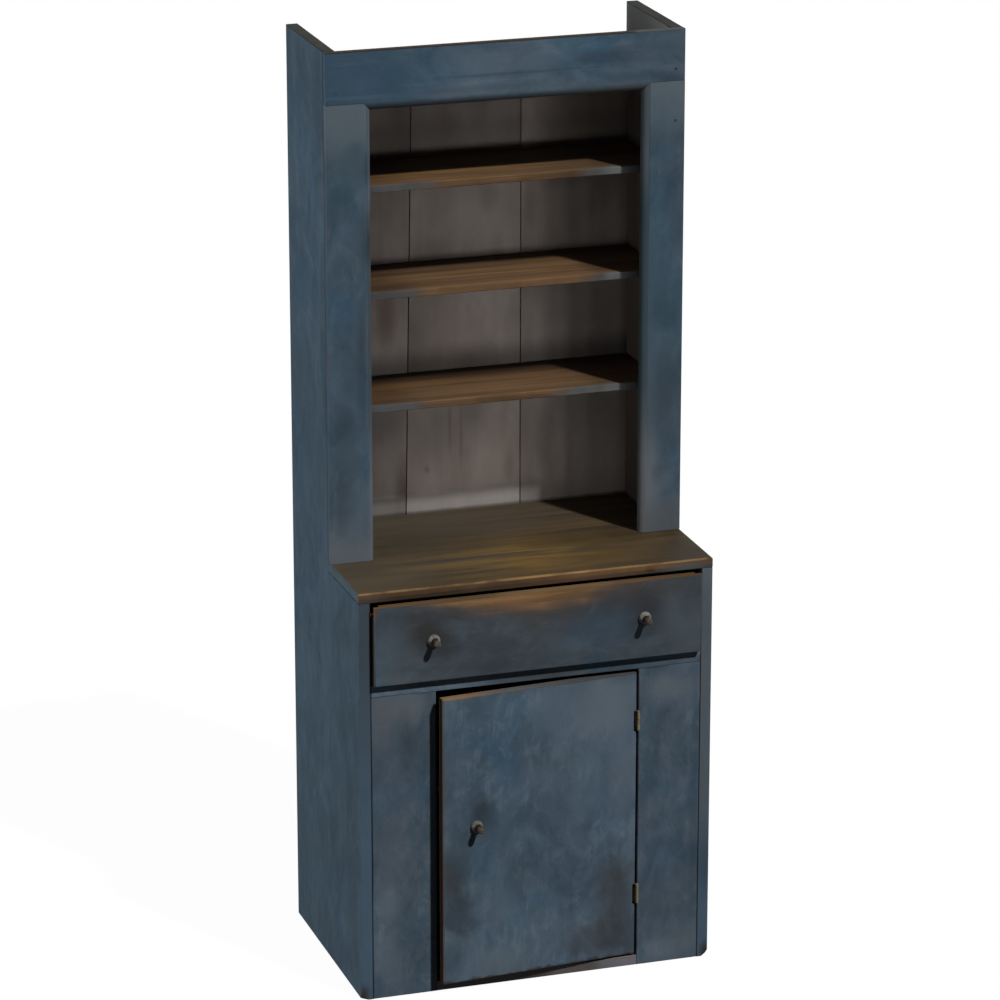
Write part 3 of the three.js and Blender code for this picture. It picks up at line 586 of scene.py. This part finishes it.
# Open shelves: pine boards let into the side boards. Their tops are worn brown wood.
# The front edges keep grey-blue paint at the ends and are rubbed to the wood in the middle.
# The back of each top and its right end are painted dark, painted shadow.
for level, seed, bare_from, bare_to, shade, shadow_from, left_paint, right_paint in (
    ("upper", 41.0, -0.13, 0.17, 1.0, 0.095, 0.9, 1.15),
    ("middle", 44.0, -0.17, 0.19, 0.88, 0.165, 0.7, 0.68),
    ("lower", 47.0, -0.16, 0.14, 0.8, 0.165, 1.0, 0.9),
):
    low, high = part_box(level + "_shelf")
    finish = Finish(level + "_shelf_wood", 0.15)
    tint, rough, height = timber(finish, "644d37", "4b3928", "x", seed)
    golden = finish.noise((2, 22, 22), seed + 7, 3, 0.6)
    tint = finish.blend(golden.ramp(0.52, 0.66) * 0.6, tint, colour("6e5234"))
    rub = finish.noise((11, 11, 11), seed + 5, 3, 0.6)
    tint = finish.dim(tint, shade * (0.62 + 0.38 * (finish.x + (rub - 0.5) * 0.08).ramp(-0.25, -0.13)))
    if level != "upper":
        # Painted shade and light: darker towards the back and at the left front, lighter at the front middle.
        tint = finish.dim(tint, 1 - 0.45 * (finish.y + (rub - 0.5) * 0.02).ramp(0.10, 0.18))
        tint = finish.shades(tint, "xy", [
            (0.03, 0.06, 0.16, 0.035, 1.3 if level == "middle" else 1.12), (-0.25, 0.02, 0.06, 0.02, 0.75),
        ])
    # Painted shadow of the right stile on the right end of each top.
    tint = finish.shades(tint, "xy", [(0.26, 0.15, 0.05, 0.09, 0.55), (0.25, 0.05, 0.03, 0.04, 0.8)])
    # Painted shadow: the back of each top is near black, where the shelf or rail above shades it.
    painted_shadow_back = (finish.y + (rub - 0.5) * 0.02).ramp(shadow_from, shadow_from + 0.03)
    tint = finish.blend(painted_shadow_back * 0.75, tint, colour("120e0b"))
    if level == "upper":
        tint = finish.blend(finish.x.ramp(0.05, 0.2) * 0.55, tint, colour("3a2f24"))
    front_lip = 1 - (finish.y - low.y + (rub - 0.5) * 0.016).ramp(0.004, 0.018)
    front_lip = front_lip * (finish.z - high.z).ramp(-0.003, -0.001)
    tint = finish.blend(front_lip * (0.15 + 0.4 * rub), tint, colour("6e563c"))
    off_middle = (finish.x - (bare_from + bare_to) / 2).size() + (rub - 0.5) * 0.14
    painted_end = off_middle.ramp((bare_to - bare_from) / 2 - 0.03, (bare_to - bare_from) / 2 + 0.05)
    at_front = 1 - (finish.y - low.y + (rub - 0.5) * 0.002).ramp(0.0008, 0.0022)
    tint = finish.blend(at_front, tint, finish.dim(tint, 0.3 + 0.95 * rub))
    # The far right end of each front edge is made half as light again: painted light in the right stile's
    # shadow.
    end_paint = left_paint + finish.x.ramp(-0.05, 0.05) * (right_paint - left_paint)
    end_paint = end_paint + 0.5 * finish.x.ramp(0.225, 0.25)
    old_paint = finish.dim(colour("454748"), (0.45 + 0.9 * rub) * end_paint)
    tint = finish.blend(at_front.most(front_lip * 0.6) * painted_end * 0.9, tint, old_paint)
    made = finish.finished(tint, rough, height, 0.0004)
    eased(level + "_shelf", "case", made, 0.002)

# Counter board: one thick board over the lower case, flush with the sides, oiled and worn olive brown.
# It is golden in the middle where it is used most. Its front edge is rubbed to tan along the top,
# with dark old varnish below, and blue paint is left on its ends.
low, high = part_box("counter_board")
finish = Finish("counter_wood", 0.1)
tint, rough, height = timber(finish, "4a3d2b", "3a3025", "x", 51.0)
worn_middle = finish.spot((-0.03, -0.12, None), (0.24, 0.11, None), 0.7, 0.9, 6)
golden = finish.noise((3, 24, 24), 57, 5, 0.65, 0.5)
streaks = finish.noise((5, 90, 90), 62, 4, 0.65, 0.3)
tint = finish.dim(tint, 0.38 + 0.98 * streaks)
tint = finish.blend(worn_middle * golden.ramp(0.36, 0.60) * 0.85, tint, colour("624e2a"))
greyed = finish.spot((-0.30, 0.06, None), (0.22, 0.30, None), 0.6, 0.8, 8)
tint = finish.blend(greyed * 0.55, tint, colour("413d35"))
tint = finish.spots(tint, "xy", [
    (-0.33, -0.20, 0.09, 0.05, 0.6, "4b4135"), (0.31, -0.17, 0.10, 0.07, 0.5, "382f23"),
    (0.20, -0.05, 0.09, 0.05, 0.55, "32291c"), (0.10, -0.045, 0.07, 0.03, 0.55, "33291b"),
    (-0.35, -0.08, 0.05, 0.10, 0.5, "352f27"), (0.355, -0.20, 0.06, 0.06, 0.75, "2c251d"),
    (0.0, 0.14, 0.20, 0.09, 0.5, "433d36"),
])
tint = finish.shades(tint, "xy", [
    (-0.20, 0.03, 0.13, 0.09, 0.75), (0.02, -0.10, 0.14, 0.022, 1.4), (-0.25, -0.22, 0.12, 0.025, 0.8),
    (0.375, -0.10, 0.03, 0.14, 0.72), (0.17, -0.16, 0.07, 0.03, 0.8), (0.30, -0.03, 0.08, 0.05, 0.75),
])
rub = finish.noise((16, 16, 16), 58, 3, 0.6)
lip = 1 - (finish.y - low.y + (rub - 0.5) * 0.008).ramp(0.002, 0.008)
lip = lip * (finish.z - high.z).ramp(-0.005, -0.002)
lip_strength = 0.15 + 0.6 * finish.noise((14, 14, 14), 59, 4, 0.6).ramp(0.38, 0.6)
lip_strength = lip_strength + 0.4 * finish.spot((0.05, None, None), (0.13, None, None))
lip_strength = lip_strength - 0.15 * finish.x.ramp(0.16, 0.2)
at_front = 1 - (finish.y - low.y).ramp(0.001, 0.002)
face = finish.dim(colour("372c23"), 0.1 + 1.7 * finish.noise((16, 16, 50), 60, 5, 0.65))
face = finish.spots(face, "xz", [
    (-0.37, 0.897, 0.03, 0.02, 0.8, "423835"), (0.03, 0.892, 0.08, 0.010, 0.35, "4a331d"),
    (-0.24, 0.896, 0.09, 0.012, 0.35, "1f1b15"), (0.15, 0.897, 0.10, 0.012, 0.6, "48382a"),
    (-0.03, 0.900, 0.05, 0.008, 0.5, "2b221c"), (-0.25, 0.898, 0.05, 0.010, 0.5, "231c17"),
    (0.34, 0.892, 0.06, 0.012, 0.85, "404547"), (0.248, 0.897, 0.010, 0.006, 0.9, "1c1612"),
])
rubbed_upper = (finish.z + (rub - 0.5) * 0.006).ramp(0.893, 0.899)
rubbed_upper = rubbed_upper * (0.25 + 0.2 * finish.x.ramp(0.02, 0.10) - 0.2 * finish.x.ramp(0.27, 0.33))
face = finish.blend(rubbed_upper, face, finish.uneven(colour("6b5035"), rub, 0.8))
tint = finish.blend(at_front, tint, face)
tint = finish.blend(lip * lip_strength, tint, finish.uneven(colour("7b6141"), rub, 1.0))
side_face = finish.x.size().ramp(0.3862, 0.3880) * (finish.y - low.y + (rub - 0.5) * 0.01).ramp(0.004, 0.012)
tint = finish.blend(side_face * 0.9, tint, finish.uneven(colour("33454f"), rub, 0.8))
counter_wood = finish.finished(tint, rough, height, 0.0004)
eased("counter_board", "case", counter_wood, 0.0025)

# Lower stiles and drawer divider: the boards that frame the door and carry the drawer front.
# Grey-blue paint, worn greyer in patches.
lower_marks = {
    "lower_left_stile": [
        (-0.34, 0.655, 0.05, 0.03, 0.6, "545659"), (-0.334, 0.60, 0.025, 0.04, 0.4, "5a5a5e"),
        (-0.27, 0.55, 0.035, 0.05, 0.5, "353f48"), (-0.314, 0.33, 0.035, 0.08, 0.5, "50565d"),
        (-0.33, 0.10, 0.03, 0.08, 0.35, "4a5258"), (-0.276, 0.655, 0.035, 0.035, 0.7, "5b6167"),
        (-0.326, 0.215, 0.025, 0.04, 0.5, "515960"),
    ],
    "lower_right_stile": [
        (0.30, 0.625, 0.06, 0.03, 0.7, "5b6168"), (0.352, 0.30, 0.008, 0.3, 0.3, "303b44"),
        (0.266, 0.16, 0.03, 0.05, 0.4, "37424a"), (0.30, 0.03, 0.04, 0.03, 0.5, "525a61"),
        (0.349, 0.055, 0.03, 0.04, 0.6, "535c63"),
    ],
    "drawer_divider": [(0.0, 0.690, 0.12, 0.02, 0.4, "3a3a38")],
}
lower_shades = {
    "lower_left_stile": [(-0.34, 0.16, 0.03, 0.09, 1.3), (-0.29, 0.58, 0.015, 0.07, 0.8)],
    "lower_right_stile": [
        (0.28, 0.36, 0.018, 0.09, 1.15), (0.335, 0.22, 0.03, 0.06, 0.78), (0.345, 0.68, 0.02, 0.015, 1.2),
        (0.27, 0.03, 0.05, 0.02, 1.2), (0.34, 0.52, 0.015, 0.04, 1.15),
    ],
    # Both ends of the band under the drawer are lighter: painted light in the drawer's shadow.
    "drawer_divider": [(0.33, 0.702, 0.09, 0.008, 1.8), (-0.33, 0.702, 0.05, 0.008, 1.8)],
}
for node, grain, seed in (
    ("lower_left_stile", "z", 61.0), ("lower_right_stile", "z", 64.0), ("drawer_divider", "x", 67.0),
):
    low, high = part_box(node)
    finish = Finish(node + "_grey_blue")
    tint, rough, height = paint(finish, "3a4954", "46515c", "4e545b", grain, seed)
    tint = finish.spots(tint, "xz", lower_marks[node])
    tint = finish.shades(tint, "xz", lower_shades[node])
    if node == "drawer_divider":
        tint = finish.dim(tint, 1.4 - 0.45 * finish.x.ramp(-0.2, -0.05))
    tint = finish.blend(finish.worn(low, high, 0.003, seed + 8) * 0.6, tint, colour("2a2422"))
    inside = (finish.y - low.y + (finish.noise((20, 20, 20), seed + 9) - 0.5) * 0.004).ramp(0.007, 0.010)
    tint = finish.blend(inside, tint, bare_wood(finish, grain, seed + 20))
    made = finish.finished(tint, rough, height, 0.0005)
    eased(node, "case", made, 0.0015)

# Bottom board: its front edge closes the door opening at the floor.
# Bare wood, dark at the left and rubbed pale at the right, where feet and brooms reach it.
low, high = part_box("bottom_board")
finish = Finish("bottom_wood", 0.15)
tint, rough, height = timber(finish, "4c3a2a", "33271c", "x", 71.0)
rub = finish.noise((12, 12, 12), 75, 3, 0.6)
pale_end = (finish.x + (rub - 0.5) * 0.08).ramp(0.0, 0.06)
at_front = 1 - (finish.y - low.y).ramp(0.001, 0.004)
dark_end_tint = finish.dim(colour("3a3532"), (0.6 + 0.8 * rub) * (1.3 - 0.6 * finish.x.ramp(-0.14, -0.08)))
tint = finish.blend(at_front * (1 - pale_end), tint, dark_end_tint)
pale_end_tint = finish.blend(finish.x.ramp(0.12, 0.17), colour("494645"), colour("65646b"))
tint = finish.blend(at_front * pale_end, tint, finish.uneven(pale_end_tint, rub, 0.8))
lip = at_front * (finish.z - high.z + (rub - 0.5) * 0.006).ramp(-0.006, -0.003)
tint = finish.blend(lip * (0.2 + 0.5 * pale_end), tint, colour("5c5857"))
bottom_wood = finish.finished(tint, rough, height, 0.0005)
eased("bottom_board", "case", bottom_wood, 0.002)

# Drawer front: a wide board, painted a dark blue grey on its face only.
# Its top edge is worn to orange-brown wood, most of all in the middle, and hands have left
# brown stains beside the knobs.
low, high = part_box("drawer_front")
finish = Finish("drawer_blue_grey")
tint, rough, height = paint(finish, "353b40", "3e464c", "424950", "x", 81.0)
tint = finish.spots(tint, "xz", [
    (-0.31, 0.79, 0.06, 0.06, 0.6, "434a50"), (0.325, 0.78, 0.045, 0.09, 0.6, "454c52"),
    (0.13, 0.785, 0.09, 0.04, 0.6, "354350"), (0.02, 0.81, 0.07, 0.03, 0.35, "3b3937"),
    (-0.05, 0.735, 0.10, 0.03, 0.4, "30363a"), (-0.250, 0.820, 0.034, 0.030, 0.6, "28231f"),
    (0.240, 0.832, 0.034, 0.028, 0.6, "232325"), (0.03, 0.872, 0.26, 0.045, 0.6, "3b322b"),
    (-0.357, 0.868, 0.007, 0.012, 0.6, "5c3f2e"), (0.178, 0.845, 0.03, 0.02, 0.5, "30363b"),
    (-0.228, 0.792, 0.040, 0.036, 0.6, "2a2826"), (0.236, 0.792, 0.040, 0.036, 0.6, "292a2b"),
])
fibres = finish.noise((4, 30, 90), 85, 4, 0.6)
tint = finish.shades(tint, "xz", [
    (-0.345, 0.77, 0.03, 0.05, 1.25), (-0.27, 0.715, 0.09, 0.012, 1.35), (-0.19, 0.738, 0.06, 0.018, 1.25),
    (0.10, 0.75, 0.06, 0.018, 1.2), (0.34, 0.83, 0.03, 0.035, 0.78), (0.13, 0.715, 0.04, 0.010, 0.8),
])
rubbed = finish.spot((-0.01, None, 0.888), (0.18, None, 0.042), 0.75, 0.7, 14)
rubbed_left = finish.spot((-0.13, None, 0.886), (0.12, None, 0.020), 0.6, 0.6, 20)
wood = finish.blend(fibres.ramp(0.38, 0.62), colour("7e5e3c"), colour("5e4731"))
wood = finish.spots(wood, "xz", [
    (-0.066, 0.858, 0.035, 0.010, 0.5, "70523a"), (0.10, 0.886, 0.09, 0.010, 0.6, "46341f"),
    (0.132, 0.866, 0.045, 0.012, 0.5, "5a4534"), (0.14, 0.856, 0.035, 0.012, 0.7, "3f3632"),
    (0.044, 0.847, 0.03, 0.008, 0.5, "503c30"),
])
tint = finish.blend((rubbed.most(rubbed_left) + (fibres - 0.5) * 0.12).ramp(0.05, 0.95) * 0.92, tint, wood)
rub = finish.noise((14, 14, 14), 87, 3, 0.6)
top_lip = (finish.z - high.z + (rub - 0.5) * 0.003).ramp(-0.0032, -0.0014)
darker_right = (finish.x + (rub - 0.5) * 0.1).ramp(0.12, 0.24)
lip_wood = finish.dim(colour("54432f"), 0.5 + 0.9 * fibres)
lip_wood = finish.blend(darker_right, lip_wood, finish.uneven(colour("3d2f20"), fibres, 1.2))
lip_light = 0.95 + 0.55 * finish.x.ramp(-0.12, -0.06) - 0.2 * finish.x.ramp(-0.01, 0.05)
lip_light = lip_light + 0.5 * finish.x.ramp(0.16, 0.22)
tint = finish.blend(top_lip, tint, finish.dim(lip_wood, lip_light))
left_lip = 1 - (finish.x - low.x + (rub - 0.5) * 0.003).ramp(0.0015, 0.0035)
tint = finish.blend(left_lip * (finish.y - low.y).ramp(0.004, 0.002) * 0.3, tint, colour("4a4238"))
# The end and bottom faces are near black: painted shade in the gaps round the drawer front.
edges_dark = (finish.y - low.y).ramp(0.003, 0.006)
tint = finish.blend(edges_dark * (1 - top_lip), tint, colour("15120f"))
tint = finish.blend((finish.y - low.y).ramp(0.018, 0.0195), tint, bare_wood(finish, "x", 89.0))
drawer_grey = finish.finished(tint, rough, height, 0.0005)
eased("drawer_front", "drawer", drawer_grey, 0.0025)

# Inner boards: drawer sides, back and bottom, runners, top board, inner shelf with cleats, door battens.
# All are bare aged pine. The drawer sides are painted black where they meet the front, painted shade
# in the gap beside the drawer front, and the inner shelf is painted black on top, painted shade inside the
# cupboard.
for along, seed, members in (
    ("y", 91.0, {
        "drawer": ("drawer_left_side", "drawer_right_side"),
        "case": ("left_drawer_runner", "right_drawer_runner", "left_shelf_cleat", "right_shelf_cleat"),
    }),
    ("x", 95.0, {
        "drawer": ("drawer_back", "drawer_bottom"),
        "case": ("top_board", "cupboard_shelf"),
        "door": ("door_upper_batten", "door_lower_batten"),
    }),
):
    finish = Finish("bare_pine_" + along, 0.15)
    tint, rough, height = timber(finish, "76603f", "5a452d", along, seed)
    if along == "y":
        # Painted shade: near black where the pieces meet the drawer front.
        painted_shade = 1 - (finish.y + (finish.noise((20, 20, 20), 93) - 0.5) * 0.02).ramp(-0.249, -0.225)
        tint = finish.blend(painted_shade * 0.97, tint, colour("0e0c0a"))
    else:
        shelf_top = 0.352
        # Painted shade: the inner shelf's top is near black.
        painted_shade = 1 - (finish.z - shelf_top).size().ramp(0.0005, 0.001)
        tint = finish.blend(painted_shade * 0.9, tint, colour("16110c"))
    bare_pine = finish.finished(tint, rough, height, 0.0005)
    for body, nodes in members.items():
        for node in nodes:
            eased(node, body, bare_pine, 0.001)

# Door: one wide board hung on the right, a little ajar. Its face is painted blue, in soft clouds.
# Hands have left dark marks beside the knob and down the left edge, and its top edge is rubbed to the wood.
# Its left edge face is painted near black, painted shade in the gap by the stile.
hinge_line = (0.2245, -0.2539)
door_ajar = math.radians(4.5)
finish = Finish("door_blue", turned=door_ajar, about=hinge_line)
low, high = Vector((-0.2205, -0.2505, 0.0275)), Vector((0.22075, -0.2305, 0.6695))
tint, rough, height = paint(finish, "3f4e5b", "4d5c69", "55616b", "z", 101.0)
tint = finish.spots(tint, "xz", [
    (0.10, 0.63, 0.10, 0.06, 0.5, "515a63"), (0.19, 0.50, 0.03, 0.15, 0.5, "4e5862"),
    (0.15, 0.60, 0.07, 0.07, 0.6, "5c666f"), (0.19, 0.47, 0.03, 0.08, 0.4, "56616b"),
    (0.05, 0.47, 0.08, 0.06, 0.35, "4e5b65"), (-0.195, 0.535, 0.025, 0.04, 0.5, "465460"),
    (-0.086, 0.06, 0.05, 0.04, 0.45, "545f67"), (-0.09, 0.19, 0.05, 0.05, 0.5, "4a5660"),
    (0.0, 0.12, 0.06, 0.05, 0.45, "48545d"), (0.19, 0.13, 0.05, 0.13, 0.6, "34373a"),
    (0.17, 0.20, 0.035, 0.05, 0.5, "363331"), (0.11, 0.075, 0.05, 0.035, 0.45, "37332f"),
    (0.16, 0.09, 0.04, 0.05, 0.4, "302d2a"), (-0.198, 0.27, 0.028, 0.055, 0.7, "292624"),
    (-0.185, 0.17, 0.035, 0.05, 0.55, "2f3234"), (-0.134, 0.404, 0.022, 0.034, 0.75, "272b2e"),
    (-0.128, 0.384, 0.026, 0.026, 0.45, "2c3136"), (-0.205, 0.44, 0.02, 0.10, 0.4, "38424a"),
    (-0.08, 0.055, 0.08, 0.03, 0.5, "4f5961"), (-0.04, 0.26, 0.05, 0.03, 0.3, "36414a"),
    (-0.09, 0.36, 0.05, 0.05, 0.5, "3a4a57"), (0.08, 0.39, 0.06, 0.05, 0.4, "3f4f5c"),
    (0.03, 0.60, 0.05, 0.05, 0.5, "50606d"), (-0.19, 0.31, 0.03, 0.04, 0.5, "38424a"),
])
tint = finish.shades(tint, "xz", [
    (-0.04, 0.64, 0.06, 0.025, 1.2), (0.0, 0.32, 0.10, 0.11, 0.86), (-0.17, 0.355, 0.025, 0.025, 0.72),
    (-0.165, 0.21, 0.03, 0.025, 0.77), (0.075, 0.23, 0.04, 0.09, 0.88), (0.19, 0.662, 0.04, 0.012, 0.82),
    (0.03, 0.50, 0.06, 0.03, 0.86), (-0.05, 0.12, 0.07, 0.06, 1.15), (-0.205, 0.075, 0.03, 0.04, 0.68),
    (0.165, 0.055, 0.025, 0.015, 0.8), (0.165, 0.34, 0.03, 0.05, 1.15),
])
rub = finish.noise((14, 14, 14), 107, 3, 0.6)
top_lip = (finish.z - high.z + (rub - 0.5) * 0.005).ramp(-0.0042, -0.0018)
fade = (finish.x + (rub - 0.5) * 0.1).ramp(-0.20, -0.06)
lip_tint = finish.dim(colour("7d6143"), 0.3 + 1.2 * rub)
lip_tint = finish.blend(fade, lip_tint, finish.uneven(colour("4e4b49"), rub, 0.8))
lip_tint = finish.dim(lip_tint, 1 - 0.35 * finish.x.ramp(0.0, 0.08))
tint = finish.blend(top_lip * 0.9, tint, lip_tint)
left_lip = 1 - (finish.x - low.x + (rub - 0.5) * 0.005).ramp(0.002, 0.0055)
tint = finish.blend(left_lip * 0.55, tint, colour("4d3b2c"))
scuffs = finish.noise((30, 30, 30), 112, 4, 0.65)
low_lip = 1 - (finish.z - low.z + (scuffs - 0.5) * 0.03).ramp(0.001, 0.007)
tint = finish.blend(low_lip * 0.75, tint, colour("2c241d"))
# Painted shade: the left edge face is near black, in the gap by the stile.
latch_edge = (1 - (finish.x - low.x).ramp(0.0005, 0.0012)) * (finish.y - low.y).ramp(0.002, 0.004)
tint = finish.blend(latch_edge, tint, colour("1c150f"))
tint = finish.blend((finish.y - low.y).ramp(0.018, 0.0195), tint, bare_wood(finish, "z", 109.0))
door_blue = finish.finished(tint, rough, height, 0.0005)
eased("door_board", "door", door_blue, 0.0015)

# Hinges and nails: iron, brown and dull with age. The nail heads are painted over with the boards.
# The hinges are mottled with a paler, brassy brown.
def iron(name, dark, pale, grain, rough, shaded_places=()):
    finish = Finish(name, 0.12)
    spots = finish.noise((grain, grain, grain), 111, 4, 0.6)
    tint = finish.blend(spots.ramp(0.3, 0.7), colour(dark), colour(pale))
    # Each shaded place is painted near black: painted shade.
    for centre, reach in shaded_places:
        tint = finish.blend(finish.spot(centre, reach, 0.4, 0.5, 60) * 0.85, tint, colour("17130f"))
    return finish.finished(tint, rough + 0.2 * spots, spots, 0.0001)


hinge_iron = iron("hinge_iron", "575041", "80755f", 120, 0.5)
painted_nail = iron("painted_nail", "2a323a", "34404a", 120, 0.6)
for name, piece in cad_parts.items():
    if "hinge" in name or "nail" in name or "nut" in name:
        piece.data.materials.clear()
        if "nail" not in name:
            piece.data.materials.append(hinge_iron)
        elif "left" in name:
            piece.data.materials.append(rail_blue if "rail" in name else left_stile_blue)
        else:
            piece.data.materials.append(painted_nail)

# Knobs: a turned iron post through a domed rosette. Each is a lathe profile, spun about its own line.
# The dome is grey and rubbed, with the post's shadow painted black on its lower left. The post is dull brown,
# with painted shade near black where it leaves the dome.
knob_aside, knob_high, drawer_face = 0.2318, 0.7965, -0.2655
hinge_at = Vector((*hinge_line, 0))
door_seat = hinge_at + Matrix.Rotation(door_ajar, 3, "Z") @ (Vector((-0.1445, -0.2505, 0.377)) - hinge_at)
seats = [Vector((aside, drawer_face, knob_high)) for aside in (-knob_aside, knob_aside)] + [door_seat]
# Painted shadow of the post on the lower left of each dome.
post_shadow_spots = [((x - 0.005, None, z - 0.006), (0.007, None, 0.009)) for x, y, z in seats]
# Painted shade on each post where it leaves the dome.
neck = [((x, y - 0.012, z), (0.012, 0.011, 0.012)) for x, y, z in seats]
dome_iron = iron("dome_iron", "4a4743", "74726e", 160, 0.42, post_shadow_spots)
door_dome_iron = iron("door_dome_iron", "403d39", "64625e", 160, 0.42, post_shadow_spots)
post_iron = iron("post_iron", "37302a", "4e453d", 160, 0.42, neck)


def spun(name, body, profile, centre, turned, material, replaced):
    """Spins a profile of (radius, how far in front of the board) about a line that points at the viewer."""
    steps = 48
    places, rings, faces = [], [], []
    for radius, out in profile:
        if rings and (radius, out) == profile[0]:
            rings.append(rings[0])
            continue
        turns = [2 * math.pi * step / steps for step in range(steps if radius else 1)]
        rings.append([len(places) + step % len(turns) for step in range(steps + 1)])
        places += [(radius * math.cos(turn), -out, radius * math.sin(turn)) for turn in turns]
    for ring, after in zip(rings, rings[1:]):
        for step in range(steps):
            corners = (ring[step], ring[step + 1], after[step + 1], after[step])
            faces.append(list(dict.fromkeys(corners)))
    mesh = bpy.data.meshes.new(name)
    mesh.from_pydata(places, [], faces)
    piece = bpy.data.objects.new(name, mesh)
    scene.collection.objects.link(piece)
    bpy.ops.object.select_all(action="DESELECT")
    piece.select_set(True)
    bpy.context.view_layer.objects.active = piece
    bpy.ops.object.shade_smooth_by_angle(angle=math.radians(50))
    mesh.transform(Matrix.Translation(centre) @ Matrix.Rotation(turned, 4, "Z"))
    mesh.materials.append(material)
    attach(piece, body)
    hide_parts(replaced)


def arc(radius_from, radius_to, out_from, out_to, steps):
    """A quarter round in a profile, from the side to the top."""
    inward, outward = radius_from - radius_to, out_to - out_from
    turns = [step / steps * math.pi / 2 for step in range(1, steps + 1)]
    return [(radius_to + inward * math.cos(turn), out_from + outward * math.sin(turn)) for turn in turns]


waist, rim, knob_end = 0.0065, 0.0135, 0.0070
bore = waist + 0.0003
dome = [(bore, 0.0), (0.0128, 0.0), (rim, 0.0007), (rim, 0.0026)]
dome += arc(rim, waist + 0.0009, 0.0026, 0.009, 8) + [(bore, 0.0084), (bore, 0.0)]
post = [(0.003, 0.0071), (waist, 0.0071), (waist, 0.0215), (knob_end, 0.0240), (knob_end, 0.0280)]
post += arc(knob_end, 0.0020, 0.0280, 0.0343, 7) + [(0.0012, 0.0340), (0.0, 0.0338)]
for seat, (owner, body, turned, through, metal) in zip(seats, (
    ("drawer_left", "drawer", 0.0, 0.028, dome_iron),
    ("drawer_right", "drawer", 0.0, 0.028, dome_iron),
    ("door", "door", door_ajar, 0.030, door_dome_iron),
)):
    spun(owner + "_dome", body, dome, seat, turned, metal, owner + "_rosette")
    shank = [(0.0, -through), (0.003, -through)]
    spun(owner + "_post", body, shank + post, seat, turned, post_iron, owner + "_knob")
